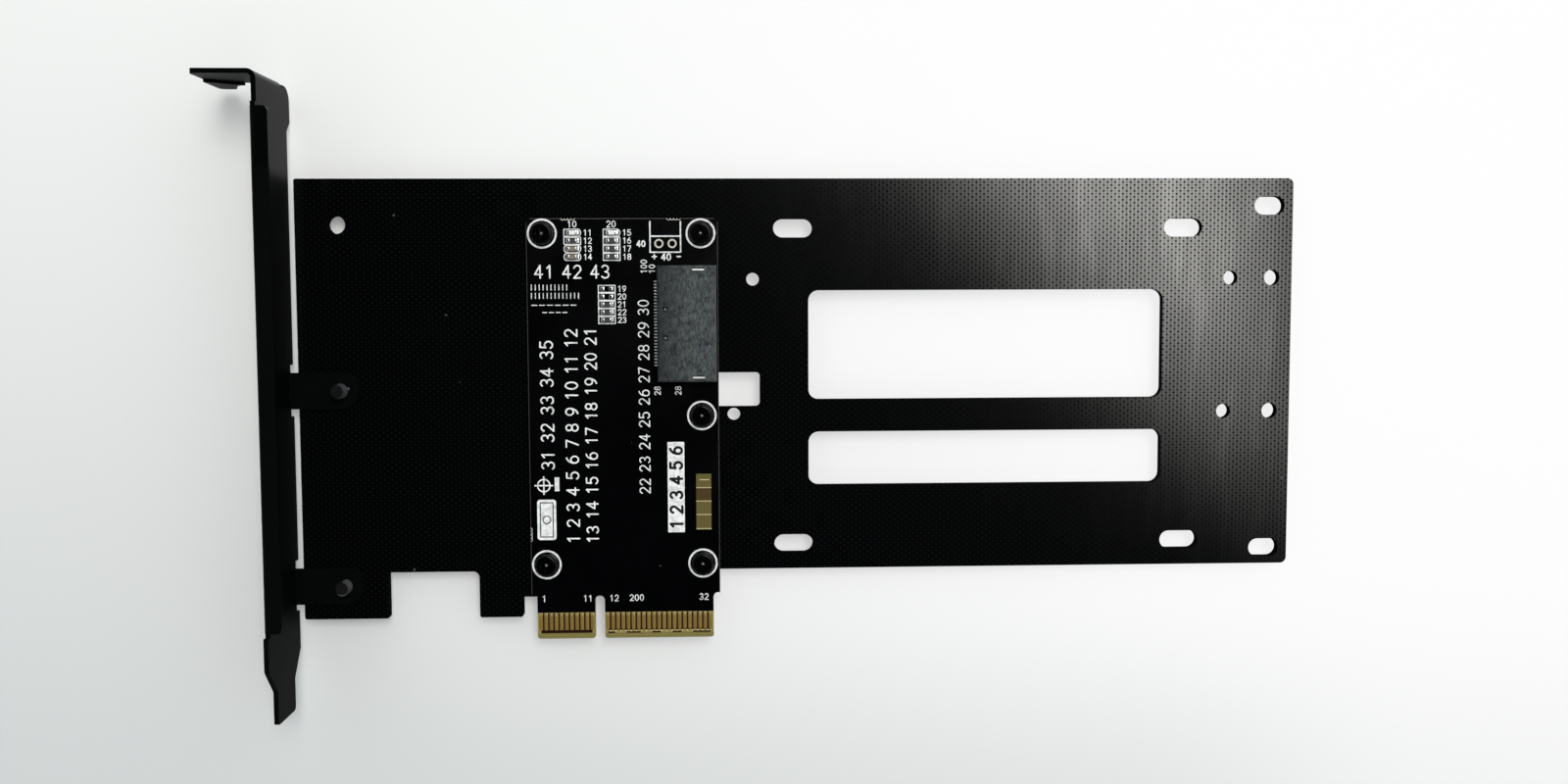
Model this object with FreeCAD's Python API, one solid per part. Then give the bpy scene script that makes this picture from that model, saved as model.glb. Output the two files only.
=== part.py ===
"""Adapter card that carries a flat solid-state drive in a computer's expansion slot.

Millimetres, +Z up. The card lies on its back: +X runs away from the slot bracket, +Y towards the
bracket's screw flange, +Z out of the component side. While a piece is modelled, x is measured from
the carrier plate's left edge, y from its upper edge and z from the surface that the card lies on.
export() then moves everything so that the origin is the bottom centre of the whole card.
"""
import FreeCAD, Part
import math
import os

# Carrier plate: a routed glass-epoxy sheet
plate_length = 193.8
plate_width = 76.2
plate_thickness = 2.0
plate_corner_radius = 1.2
first_foot_width = 16.3
foot_gap = 17.6
second_foot_width = 8.4
foot_drop = 9.1
ledge_below_shoulder = 0.8
ledge_setback = 0.9
ledge_corner_radius = 3.0
inner_corner_radius = 0.45

# Long windows of the plate, and the small window beside the connector
window_from_board = 17.5
window_from_end = 25.6
window_corner_radius = 2.0
wide_window_top = 21.6
wide_window_share = 0.668
window_bridge = 6.3
narrow_window_from_edge = 16.4
side_window_overlap = 1.2
side_window_reach = 8.0
side_window_height = 6.7
side_window_top = 37.5
side_window_radius = 0.8

# Holes of the plate for the drives it can carry
drive_slot_pitch_x = 76.6
drive_slot_pitch_y = 61.72
drive_slot_share_x = 0.4
drive_slot_share_y = 0.66
drive_slot_length = 7.6
drive_slot_width = 3.6
end_slot_inset = 4.65
end_slot_top = 5.3
end_slot_bottom = 3.15
end_slot_length = 6.0
end_slot_width = 3.6
upper_row_y = 19.4
row_pitch = 26.3
near_hole_diameter = 2.5
upper_near_hole_from_board = 6.7
lower_near_hole_from_board = 2.9
middle_hole_diameter = 2.8
upper_middle_hole_from_end = 12.2
lower_middle_hole_from_end = 13.2
far_hole_diameter = 3.1
far_hole_from_end = 3.95
corner_hole_diameter = 3.4
corner_hole_x = 7.9
corner_hole_y = 8.8

# Adapter board and its edge tongue
board_left = 44.2
board_top = 7.7
shoulder_below_plate = 4.3
board_thickness = 1.6
left_shoulder = 1.1
right_shoulder = 1.3
shoulder_radius = 0.9
board_corner_radius = 0.5
tongue_drop = 8.9
tongue_bevel_height = 1.1
tongue_bevel_depth = 0.42
tongue_corner = 0.5
finger_pitch = 1.0
finger_width = 0.7
finger_length = 3.4
finger_rise = 1.75
finger_thickness = 0.05
fingers_before_key = 11
fingers_after_key = 21
key_width = 1.9
key_gap_pitches = 3
tongue_margin = 0.65
key_depth_margin = 0.4
notch_diameter = 0.5
notch_pitch = 0.65
notches_per_row = 4
left_break_from_side = 8.0
right_break_from_side = 8.45
side_break_above_shoulder = 11.7

# Screws that hold the board, with their nuts
board_screw_diameter = 2.5
board_screw_clearance = 0.1
board_screw_head_diameter = 4.3
board_screw_head_height = 1.5
board_hole_inset_left = 3.05
board_hole_inset_right = 3.3
board_hole_inset_top = 2.9
board_hole_inset_bottom = 5.8
board_hole_middle = 38.05
nut_across_flats = 5.0
nut_height = 2.0
thread_clearance = 0.03
recess_span = 2.3
recess_width = 0.62
recess_depth = 0.8
head_edge_radius = 0.5

# Drive connector at the board's right edge
contact_pitch = 0.6
contacts_per_row = 28
contact_width = 0.26
contact_thickness = 0.15
contact_groove_clearance = 0.06
contact_tail = 0.72
contact_bump = 0.28
contact_bump_run = 0.56
contact_setback = 1.35
connector_end_block = 2.95
connector_depth = 11.2
connector_height = 4.8
connector_setback = 0.35
connector_centre = 20.2
connector_edge = 0.35
mouth_height = 1.9
mouth_centre_height = 2.45
mouth_depth = 6.4
mouth_end_margin = 0.9
mouth_lead_in = 0.45
groove_depth = 0.45
groove_setback = 0.9
rear_wall = 1.1
trough_height = 0.5
pocket_size = 1.1
pocket_depth = 0.6
pocket_inset = 1.0
pocket_pitch = 5.45
hold_down_length = 2.3
hold_down_thickness = 0.6
hold_down_inset = 0.5
hold_down_from_mouth = 2.2
hold_down_recess = 0.25
hold_down_clearance = 0.05

# Small parts soldered to the board
chip_length = 1.6
chip_width = 0.8
resistor_height = 0.45
capacitor_height = 0.7
terminal_length = 0.32
terminal_wrap = 0.02
led_base_height = 0.3
led_lens_height = 0.32
led_lens_length = 1.1
pad_length = 0.85
pad_width = 0.9
pad_gap = 0.8
pad_thickness = 0.05
chip_row_pitch = 1.54
left_column_inset = 8.85
middle_column_inset = 16.35
lamp_row_drop = 2.75
pull_up_column_inset = 15.3
pull_up_row_drop = 13.5
pull_up_pitch = 1.5
header_pitch = 2.54
header_hole_diameter = 0.95
header_ring_diameter = 1.75
header_barrel_wall = 0.06
header_inset_right = 11.3
header_drop = 4.85

# Slot bracket: one folded steel sheet
sheet_thickness = 0.9
bracket_gap = 1.35
bracket_above_plate = 18.3
blade_drop = 1.2
blade_near_height = 17.4
head_drop = 3.1
head_near_height = 15.5
head_step_y = 10.0
head_step_run = 1.8
head_corner_radius = 2.8
head_top_drop = 0.8
lip_width = 3.4
lip_top_y = 11.5
lip_bottom_margin = 1.8
lip_bend_radius = 0.3
lip_corner_radius = 1.0
lip_relief = 0.9
blade_below_lip = 7.1
tongue_taper = 4.9
tongue_length = 6.3
tongue_near_drop = 4.6
tongue_width = 10.1
tongue_end_radius = 1.0
tab_width = 7.0
tab_hole_x = 8.1
tab_bend_radius = 0.25
tab_pitch = 38.1
second_tab_above_foot = 6.6
relief_width = 1.5
relief_height = 1.7
flange_reach = 11.9
flange_bend_radius = 0.8
flange_corner_radius = 1.0
flange_slot_width = 4.42
flange_slot_from_edge = 5.08
flange_slot_from_blade = 4.75
flange_root_margin = 1.0
flange_far_margin = 2.5
slot_flare = 1.1
arm_step_above_slot = 6.4
arm_drop = 0.5

# Screws that come through the plate into the bracket's tabs
bracket_screw_diameter = 3.0
bracket_screw_clearance = 0.2
bracket_screw_head_diameter = 5.5
bracket_screw_head_height = nut_height
bracket_screw_standing = 2.3
tip_chamfer = 0.3
thread_pitch = 0.5
thread_depth = 0.27

# Levels
plate_bottom_z = nut_height
plate_top_z = plate_bottom_z + plate_thickness
board_top_z = plate_top_z + board_thickness

# Board outline, from the row of contact fingers
finger_span = (fingers_before_key + fingers_after_key - 2 + key_gap_pitches) * finger_pitch
edge_tongue_width = finger_span + 2 * tongue_margin * finger_pitch
board_width = left_shoulder + edge_tongue_width + right_shoulder
board_right = board_left + board_width
shoulder_y = -(plate_width + shoulder_below_plate)
tongue_bottom_y = shoulder_y - tongue_drop
edge_tongue_left = board_left + left_shoulder
edge_tongue_right = edge_tongue_left + edge_tongue_width
first_finger_x = edge_tongue_left + tongue_margin * finger_pitch
key_x = first_finger_x + (fingers_before_key - 1 + key_gap_pitches / 2) * finger_pitch

# Board screw places, shared by the board, the plate, the screws and the nuts
left_screw_x = board_left + board_hole_inset_left
right_screw_x = board_right - board_hole_inset_right
top_screw_y = -(board_top + board_hole_inset_top)
middle_screw_y = -(board_top + board_hole_middle)
bottom_screw_y = shoulder_y + board_hole_inset_bottom
board_screw_places = [
    (left_screw_x, top_screw_y),
    (right_screw_x, top_screw_y),
    (right_screw_x, middle_screw_y),
    (left_screw_x, bottom_screw_y),
    (right_screw_x, bottom_screw_y),
]
board_hole_diameter = board_screw_diameter + 2 * board_screw_clearance

# Bracket planes
inner_face_x = -bracket_gap
outer_face_x = inner_face_x - sheet_thickness
flange_end_x = inner_face_x - flange_reach
blade_far_z = plate_top_z - blade_drop
head_far_z = plate_top_z - head_drop
head_near_z = plate_top_z + head_near_height
flange_root_z = head_far_z + flange_slot_from_edge - flange_root_margin
blade_near_z = plate_top_z + blade_near_height
second_tab_y = -(plate_width + foot_drop - second_tab_above_foot)
tab_places = [second_tab_y + tab_pitch, second_tab_y]
lip_bottom_y = second_tab_y - tab_width / 2 - lip_bottom_margin
tongue_start_y = lip_bottom_y - blade_below_lip
taper_end_y = tongue_start_y - tongue_taper
bracket_end_y = taper_end_y - tongue_length

# The whole card's box, for the origin
centre_x = (flange_end_x + plate_length) / 2
centre_y = (bracket_above_plate + bracket_end_y) / 2


def vec(x, y, z=0.0):
    return FreeCAD.Vector(x, y, z)


def box(x0, x1, y0, y1, z0, z1):
    """Block between two corners."""
    return Part.makeBox(x1 - x0, y1 - y0, z1 - z0, vec(x0, y0, z0))


def rod(x, y, z0, z1, diameter):
    """Upright round bar."""
    return Part.makeCylinder(diameter / 2, z1 - z0, vec(x, y, z0))


def face(corners, to_space):
    """Flat face through corners (u, v, radius); a radius above zero rounds its corner."""
    joins = []
    count = len(corners)
    for i, (u, v, radius) in enumerate(corners):
        here = vec(u, v)
        back = vec(*corners[i - 1][:2]) - here
        ahead = vec(*corners[(i + 1) % count][:2]) - here
        back.normalize()
        ahead.normalize()
        if radius <= 0:
            joins.append((here, None, here))
            continue
        half = back.getAngle(ahead) / 2
        reach = radius / math.tan(half)
        middle = back + ahead
        middle.normalize()
        crown = here + middle * (radius / math.sin(half) - radius)
        joins.append((here + back * reach, crown, here + ahead * reach))
    edges = []
    for i, (start, crown, end) in enumerate(joins):
        follow = joins[(i + 1) % count][0]
        start, end, follow = (to_space(p.x, p.y) for p in (start, end, follow))
        if crown is not None:
            edges.append(Part.Arc(start, to_space(crown.x, crown.y), end).toShape())
        if end.distanceToPoint(follow) > 1e-6:
            edges.append(Part.makeLine(end, follow))
    return Part.Face(Part.Wire(edges))


def slab(corners, z0, z1):
    """Sheet of even thickness with the given outline in x and y."""
    return face(corners, lambda u, v: vec(u, v, z0)).extrude(vec(0, 0, z1 - z0))


def round_cornered(x0, x1, y0, y1, radius):
    return [(x0, y0, radius), (x1, y0, radius), (x1, y1, radius), (x0, y1, radius)]


def long_slot(x, y, length, width, z0, z1):
    """Slot with round ends, along x."""
    reach = (length - width) / 2
    pieces = [box(x - reach, x + reach, y - width / 2, y + width / 2, z0, z1)]
    pieces += [rod(x + side * reach, y, z0, z1, width) for side in (-1, 1)]
    return joined(pieces)


def joined(shapes):
    return shapes[0].multiFuse(shapes[1:]).removeSplitter()


def export(name, solids):
    """Writes one named piece, or a group of like pieces, with the card's origin at its bottom centre."""
    shape = solids[0] if len(solids) == 1 else Part.makeCompound(solids)
    shape = shape.copy()
    shape.translate(vec(-centre_x, -centre_y, 0))
    shape.exportStep("parts/" + name + ".step")


def drive_slot_places():
    """Slots of the drive pattern, set by a share of the plate's spare length and width."""
    left = board_right + drive_slot_share_x * (plate_length - board_right - drive_slot_pitch_x)
    top = drive_slot_share_y * (plate_width - drive_slot_pitch_y)
    return [(x, -y) for x in (left, left + drive_slot_pitch_x) for y in (top, top + drive_slot_pitch_y)]


def carrier_plate():
    """Routed sheet: two feet on the lower left, a ledge behind the board, windows, slots and holes."""
    z0, z1 = plate_bottom_z, plate_top_z
    low, foot, ledge = -plate_width, -(plate_width + foot_drop), shoulder_y - ledge_below_shoulder
    gap_left = first_foot_width
    gap_right = gap_left + foot_gap
    foot_right = gap_right + second_foot_width
    ledge_right = board_right - ledge_setback
    r, inner = plate_corner_radius, inner_corner_radius
    plate = slab([
        (0, 0, inner), (0, foot, inner), (gap_left, foot, inner), (gap_left, low, inner),
        (gap_right, low, r), (gap_right, foot, inner), (foot_right, foot, inner), (foot_right, ledge, inner),
        (ledge_right, ledge, ledge_corner_radius), (ledge_right, low, inner),
        (plate_length, low, r), (plate_length, 0, r),
    ], z0, z1)

    window_left, window_right = board_right + window_from_board, plate_length - window_from_end
    narrow_bottom = plate_width - narrow_window_from_edge
    wide_bottom = wide_window_top + wide_window_share * (narrow_bottom - wide_window_top - window_bridge)
    narrow_top = wide_bottom + window_bridge
    side_right = board_right + side_window_reach
    cuts = [
        slab(round_cornered(window_left, window_right, -wide_bottom, -wide_window_top,
                            window_corner_radius), z0, z1),
        slab(round_cornered(window_left, window_right, -narrow_bottom, -narrow_top,
                            window_corner_radius), z0, z1),
        slab(round_cornered(board_right - side_window_overlap, side_right,
                            -(side_window_top + side_window_height), -side_window_top,
                            side_window_radius), z0, z1),
    ]
    for x, y in drive_slot_places():
        cuts.append(long_slot(x, y, drive_slot_length, drive_slot_width, z0, z1))
    for y in (-end_slot_top, low + end_slot_bottom):
        cuts.append(long_slot(plate_length - end_slot_inset, y, end_slot_length, end_slot_width, z0, z1))
    lower_row_y = upper_row_y + row_pitch
    round_holes = [
        (corner_hole_x, corner_hole_y, corner_hole_diameter),
        (board_right + upper_near_hole_from_board, upper_row_y, near_hole_diameter),
        (board_right + lower_near_hole_from_board, lower_row_y, near_hole_diameter),
        (plate_length - upper_middle_hole_from_end, upper_row_y, middle_hole_diameter),
        (plate_length - lower_middle_hole_from_end, lower_row_y, middle_hole_diameter),
        (plate_length - far_hole_from_end, upper_row_y, far_hole_diameter),
        (plate_length - far_hole_from_end, lower_row_y, far_hole_diameter),
    ]
    for x, depth, diameter in round_holes:
        cuts.append(rod(x, -depth, z0, z1, diameter))
    for x, y in board_screw_places:
        cuts.append(rod(x, y, z0, z1, board_hole_diameter))
    for y in tab_places:
        cuts.append(rod(tab_hole_x, y, z0, z1, bracket_screw_diameter + 2 * bracket_screw_clearance))
    return plate.cut(cuts)


def adapter_board():
    """Board with its key-notched edge tongue, bevelled on both sides along the bottom edge."""
    z0, z1 = plate_top_z, board_top_z
    key_left, key_right = key_x - key_width / 2, key_x + key_width / 2
    key_top = shoulder_y - key_depth_margin
    outline = [
        (board_left, -board_top, board_corner_radius), (board_left, shoulder_y, board_corner_radius),
        (edge_tongue_left, shoulder_y, 0), (edge_tongue_left, tongue_bottom_y, tongue_corner),
        (key_left, tongue_bottom_y, tongue_corner), (key_left, key_top, key_width / 2),
        (key_right, key_top, key_width / 2), (key_right, tongue_bottom_y, tongue_corner),
        (edge_tongue_right, tongue_bottom_y, tongue_corner),
        (edge_tongue_right, shoulder_y, shoulder_radius),
        (board_right, shoulder_y, 0), (board_right, -board_top, board_corner_radius),
    ]
    board = slab(outline, z0, z1)
    bevel_top = tongue_bottom_y + tongue_bevel_height
    cuts = []
    for level, inward in ((z1, -1), (z0, 1)):
        wedge = face([
            (bevel_top, level, 0),
            (tongue_bottom_y, level + inward * tongue_bevel_depth, 0),
            (tongue_bottom_y, level, 0),
        ], lambda u, v: vec(edge_tongue_left, u, v))
        cuts.append(wedge.extrude(vec(edge_tongue_width, 0, 0)))
    for x, y in board_screw_places:
        cuts.append(rod(x, y, z0, z1, board_hole_diameter))
    for x, y in header_places():
        cuts.append(rod(x, y, z0, z1, header_hole_diameter + 2 * header_barrel_wall))
    for x, y in break_off_places():
        cuts.append(rod(x, y, z0, z1, notch_diameter))
    return board.cut(cuts)


def break_off_places():
    """Rows of half-round notches on the board's edges, where it was broken out of its panel."""
    offsets = [(i - (notches_per_row - 1) / 2) * notch_pitch for i in range(notches_per_row)]
    columns = (board_left + left_break_from_side, board_right - right_break_from_side)
    row_y = shoulder_y + side_break_above_shoulder
    top_rows = [(x + offset, -board_top) for x in columns for offset in offsets]
    return top_rows + [(board_left, row_y + offset) for offset in offsets]


def finger_places():
    """Centres of the fingers along the tongue, with the key's gap left out."""
    after_key = range(fingers_before_key - 1 + key_gap_pitches,
                      fingers_before_key - 1 + key_gap_pitches + fingers_after_key)
    steps = list(range(fingers_before_key)) + list(after_key)
    return [first_finger_x + step * finger_pitch for step in steps]


def contact_fingers(z0, z1):
    """Row of plated pads on one side of the tongue."""
    bottom = tongue_bottom_y + finger_rise
    half = finger_width / 2
    return [box(x - half, x + half, bottom, bottom + finger_length, z0, z1) for x in finger_places()]


def cross_recess(x, y, z):
    """Cross-shaped driver recess that opens upwards at height z."""
    long_half, wide_half = recess_span / 2, recess_width / 2
    arms = [(long_half, wide_half), (wide_half, long_half)]
    return joined([box(x - a, x + a, y - b, y + b, z - recess_depth, z) for a, b in arms])


def pan_head(x, y, seat, height, diameter, edge_radius, faces_up):
    """Round screw head with a soft rim and a cross recess, above or below its seat."""
    head = rod(x, y, 0, height, diameter)
    rim = [e for e in head.Edges if e.BoundBox.ZMin > height / 2]
    head = head.makeFillet(edge_radius, rim).cut(cross_recess(x, y, height))
    if not faces_up:
        head.rotate(vec(x, y, 0), vec(1, 0, 0), 180)
    head.translate(vec(0, 0, seat))
    return head


def board_screw(x, y):
    shank = rod(x, y, tip_chamfer, board_top_z, board_screw_diameter - 2 * thread_clearance)
    head = pan_head(x, y, board_top_z, board_screw_head_height, board_screw_head_diameter,
                    head_edge_radius, True)
    return joined([head, shank])


def board_nut(x, y):
    """Hexagon nut under the plate."""
    corner = nut_across_flats / 2 / math.cos(math.pi / 6)
    corners = []
    for i in range(6):
        angle = math.pi / 6 + i * math.pi / 3
        corners.append((x + corner * math.cos(angle), y + corner * math.sin(angle), 0))
    return slab(corners, 0, nut_height).cut(rod(x, y, 0, nut_height, board_screw_diameter))


def bracket_screw(y):
    """Screw from under the plate into a tapped tab, its tip standing above the tab."""
    x = tab_hole_x
    seat_z = plate_top_z + sheet_thickness
    top = seat_z + bracket_screw_standing
    diameter = bracket_screw_diameter - 2 * thread_clearance
    shank = rod(x, y, plate_bottom_z, seat_z, diameter)
    head = pan_head(x, y, plate_bottom_z, bracket_screw_head_height, bracket_screw_head_diameter,
                    head_edge_radius, False)
    return joined([head, shank, threaded_tip(x, y, seat_z, top, diameter)])


def threaded_tip(x, y, z0, z1, diameter):
    """Standing end of a screw, its thread drawn as even ring grooves below a chamfered end."""
    crest = diameter / 2
    turns = round((z1 - z0 - tip_chamfer) / thread_pitch)
    step = (z1 - z0 - tip_chamfer) / turns
    profile = [(0, z0, 0), (crest, z0, 0)]
    for i in range(turns):
        profile += [(crest - thread_depth, z0 + (i + 0.5) * step, 0), (crest, z0 + (i + 1) * step, 0)]
    profile += [(crest - tip_chamfer, z1, 0), (0, z1, 0)]
    return face(profile, lambda u, v: vec(x + u, y, v)).revolve(vec(x, y, 0), vec(0, 0, 1), 360)


def bend(centre_u, centre_v, inner, start, turn):
    """Quarter-ring section of a fold, as points along its outer arc and back along its inner arc."""
    outer = inner + sheet_thickness
    angles = [math.radians(start + turn * part) for part in (0, 0.5, 1)]

    def arc(radius, way):
        return [(centre_u + radius * math.cos(a), centre_v + radius * math.sin(a)) for a in way]

    return arc(outer, angles), arc(inner, angles[::-1])


def folded(rings, to_space, along):
    """Solid fold: the quarter-ring section carried straight along the bend line."""
    outer, inner = ([to_space(u, v) for u, v in ring] for ring in rings)
    edges = [
        Part.Arc(*outer).toShape(),
        Part.makeLine(outer[2], inner[0]),
        Part.Arc(*inner).toShape(),
        Part.makeLine(inner[2], outer[0]),
    ]
    return Part.Face(Part.Wire(edges)).extrude(along)


def bracket_blade():
    """Flat blade: wide head under the flange, straight middle, and a narrow tongue at the foot."""
    top = bracket_above_plate - sheet_thickness - flange_bend_radius
    head_top_y = bracket_above_plate - head_top_drop
    fold_z = blade_near_z - sheet_thickness - lip_bend_radius
    step_low, step_high = head_step_y - head_step_run / 2, head_step_y + head_step_run / 2
    tongue_near_z = blade_near_z - tongue_near_drop
    tongue_far_z = tongue_near_z - tongue_width
    r = tongue_end_radius
    outline = face([
        (head_top_y, head_far_z, head_corner_radius), (head_top_y, flange_root_z, 0),
        (top, flange_root_z, 0), (top, head_near_z, 0),
        (lip_top_y + lip_relief, head_near_z, 0), (lip_top_y + lip_relief, fold_z, 0),
        (lip_bottom_y - lip_relief, fold_z, 0), (lip_bottom_y - lip_relief, blade_near_z, 0),
        (tongue_start_y, blade_near_z, r), (taper_end_y, tongue_near_z, r),
        (bracket_end_y, tongue_near_z, r / 2), (bracket_end_y, tongue_far_z, r),
        (taper_end_y, tongue_far_z, r), (tongue_start_y, blade_far_z, r),
        (step_low, blade_far_z, 0), (step_high, head_far_z, 0),
    ], lambda u, v: vec(outer_face_x, u, v))
    return outline.extrude(vec(sheet_thickness, 0, 0))


def bracket_lip():
    """Stiffening lip folded inwards along the blade's near edge."""
    length = lip_top_y - lip_bottom_y
    fold_x = outer_face_x + sheet_thickness + lip_bend_radius
    fold_z = blade_near_z - sheet_thickness - lip_bend_radius
    rings = bend(fold_x, fold_z, lip_bend_radius, 180, -90)
    fold = folded(rings, lambda u, v: vec(u, lip_bottom_y, v), vec(0, length, 0))
    flat = slab([
        (fold_x, lip_bottom_y, 0), (outer_face_x + lip_width, lip_bottom_y, lip_corner_radius),
        (outer_face_x + lip_width, lip_top_y, lip_corner_radius), (fold_x, lip_top_y, 0),
    ], blade_near_z - sheet_thickness, blade_near_z)
    return [fold, flat]


def bracket_tab(y):
    """Fixing tab folded from the blade onto the plate, with a round end about its tapped hole."""
    half = tab_width / 2
    fold_x = outer_face_x + sheet_thickness + tab_bend_radius
    fold_z = plate_top_z + sheet_thickness + tab_bend_radius
    rings = bend(fold_x, fold_z, tab_bend_radius, 180, 90)
    fold = folded(rings, lambda u, v: vec(u, y - half, v), vec(0, tab_width, 0))
    z0, z1 = plate_top_z, plate_top_z + sheet_thickness
    flat = box(fold_x, tab_hole_x, y - half, y + half, z0, z1)
    flat = flat.fuse(rod(tab_hole_x, y, z0, z1, tab_width))
    return [fold, flat.cut(rod(tab_hole_x, y, z0, z1, bracket_screw_diameter))]


def tab_clearance(y):
    """What is cut from the blade at a tab: the sheet that became the tab, and a relief on each side."""
    half = tab_width / 2
    fold_z = plate_top_z + sheet_thickness + tab_bend_radius
    relief_top = blade_far_z + relief_height
    x0, x1 = outer_face_x, inner_face_x
    reliefs = [
        box(x0, x1, y - half - relief_width, y - half, blade_far_z, relief_top),
        box(x0, x1, y + half, y + half + relief_width, blade_far_z, relief_top),
    ]
    return [box(x0, x1, y - half, y + half, blade_far_z, fold_z)] + reliefs


def bracket_flange():
    """Screw flange folded outwards at the top: an open flared slot, and beside it an arm set down a little."""
    fold_x = outer_face_x - flange_bend_radius
    y1 = bracket_above_plate
    y0 = y1 - sheet_thickness
    fold_y = y0 - flange_bend_radius
    rings = bend(fold_x, fold_y, flange_bend_radius, 0, 90)
    fold = folded(rings, lambda u, v: vec(u, v, flange_root_z), vec(0, 0, head_near_z - flange_root_z))

    half = flange_slot_width / 2
    slot_x = outer_face_x - flange_slot_from_blade
    slot_z = head_far_z + flange_slot_from_edge
    far_z = head_far_z + flange_far_margin
    r = flange_corner_radius

    def sheet(outline, y, thickness):
        return face(outline, lambda u, v: vec(u, y, v)).extrude(vec(0, thickness, 0))

    flat = sheet([
        (fold_x, flange_root_z, 0), (fold_x, head_near_z, 0), (flange_end_x, head_near_z, r),
        (flange_end_x, far_z, r), (slot_x, far_z, 0), (slot_x, flange_root_z, 0),
    ], y0, sheet_thickness)
    arm_side = sheet([
        (flange_end_x, far_z, 0), (flange_end_x, slot_z + arm_step_above_slot, 0),
        (slot_x, slot_z + half, 0), (slot_x, far_z, 0),
    ], y0, sheet_thickness)
    arm, main = flat.common(arm_side), flat.cut(arm_side)
    arm.translate(vec(0, -arm_drop, 0))

    low_y, depth = y0 - arm_drop, sheet_thickness + arm_drop
    slot_end = Part.makeCylinder(half, depth, vec(slot_x, low_y, slot_z), vec(0, 1, 0))
    slot_way = sheet([
        (slot_x - half - slot_flare, far_z, 0), (slot_x - half, slot_z, 0),
        (slot_x + half, slot_z, 0), (slot_x + half, far_z, 0),
    ], low_y, depth)
    return [fold] + [piece.cut([slot_end, slot_way]) for piece in (main, arm)]


def slot_bracket():
    blade = bracket_blade()
    cuts = [cut for y in tab_places for cut in tab_clearance(y)]
    pieces = [blade.cut(cuts)] + bracket_lip() + bracket_flange()
    for y in tab_places:
        pieces += bracket_tab(y)
    return joined(pieces)


def connector_frame():
    """Shared planes of the connector: back, mouth, lower and upper ends, and the mouth's levels."""
    row = (contacts_per_row - 1) * contact_pitch
    mouth_x = board_right - connector_setback
    back_x = mouth_x - connector_depth
    middle_y = -(board_top + connector_centre)
    half = row / 2 + connector_end_block
    slot_low = board_top_z + mouth_centre_height - mouth_height / 2
    return back_x, mouth_x, middle_y, half, row, slot_low, slot_low + mouth_height


def contact_rows_y():
    _, _, middle_y, _, row, _, _ = connector_frame()
    return [middle_y - row / 2 + i * contact_pitch for i in range(contacts_per_row)]


def hold_down_places():
    """Lower corner in x, and the middle in y, of the two hold-downs in the connector's end blocks."""
    _, mouth_x, middle_y, half, _, _, _ = connector_frame()
    x = mouth_x - hold_down_from_mouth - hold_down_length
    reach = half - hold_down_inset - hold_down_thickness / 2
    return [(x, middle_y + side * reach) for side in (-1, 1)]


def connector_housing():
    """Moulded body: mouth towards +X, contact grooves, floor trough, pockets and hold-down slots."""
    back_x, mouth_x, middle_y, half, row, slot_low, slot_high = connector_frame()
    z0, z1 = board_top_z, board_top_z + connector_height
    body = box(back_x, mouth_x, middle_y - half, middle_y + half, z0, z1)
    upper_edges = [e for e in body.Edges if e.BoundBox.ZMin > z0]
    body = body.makeChamfer(connector_edge, upper_edges)

    mouth_half = row / 2 + contact_pitch / 2 + mouth_end_margin
    slot_back = mouth_x - mouth_depth
    cuts = [box(slot_back, mouth_x, middle_y - mouth_half, middle_y + mouth_half, slot_low, slot_high)]
    lead = face([
        (mouth_x - mouth_lead_in, slot_low, 0), (mouth_x, slot_low - mouth_lead_in, 0),
        (mouth_x, slot_high + mouth_lead_in, 0), (mouth_x - mouth_lead_in, slot_high, 0),
    ], lambda u, v: vec(u, middle_y - mouth_half, v))
    cuts.append(lead.extrude(vec(0, 2 * mouth_half, 0)))

    slit = contact_width / 2 + contact_groove_clearance
    riser_depth = contact_thickness + 2 * contact_groove_clearance
    groove_end = mouth_x - groove_setback
    lower_x = back_x + rear_wall
    trough_end = lower_x + contact_tail + riser_depth
    cuts.append(box(lower_x, trough_end, middle_y - row / 2 - contact_pitch,
                    middle_y + row / 2 + contact_pitch, z0, z0 + trough_height))
    for y in contact_rows_y():
        y0, y1 = y - slit, y + slit
        cuts.append(box(back_x, back_x + riser_depth, y0, y1, z0, slot_high + groove_depth))
        cuts.append(box(back_x, groove_end, y0, y1, slot_high, slot_high + groove_depth))
        cuts.append(box(trough_end - riser_depth, trough_end, y0, y1, z0, slot_low))
        cuts.append(box(trough_end - riser_depth, groove_end, y0, y1, slot_low - groove_depth, slot_low))
    for side in (-1, 1):
        x, y = back_x + pocket_inset, middle_y + side * pocket_pitch / 2 - pocket_size / 2
        cuts.append(box(x, x + pocket_size, y, y + pocket_size, z1 - pocket_depth, z1))
    reach = hold_down_thickness / 2 + hold_down_clearance
    for x, y in hold_down_places():
        cuts.append(box(x - hold_down_clearance, x + hold_down_length + hold_down_clearance,
                        y - reach, y + reach, z0, z1))
    return body.cut(cuts)


def contact_strip(points, y):
    """Bent strip: a flat profile in x and z, as wide as one contact."""
    profile = face([(u, v, 0) for u, v in points], lambda u, v: vec(u, y - contact_width / 2, v))
    return profile.extrude(vec(0, contact_width, 0))


def spring(end_x, level, dip):
    """Free end of a contact beam: a shallow bump that stands into the mouth, then lifts clear."""
    crest_x = end_x - contact_bump_run
    return [(crest_x - 2 * contact_bump_run, level), (crest_x, level + dip), (end_x, level)]


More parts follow.
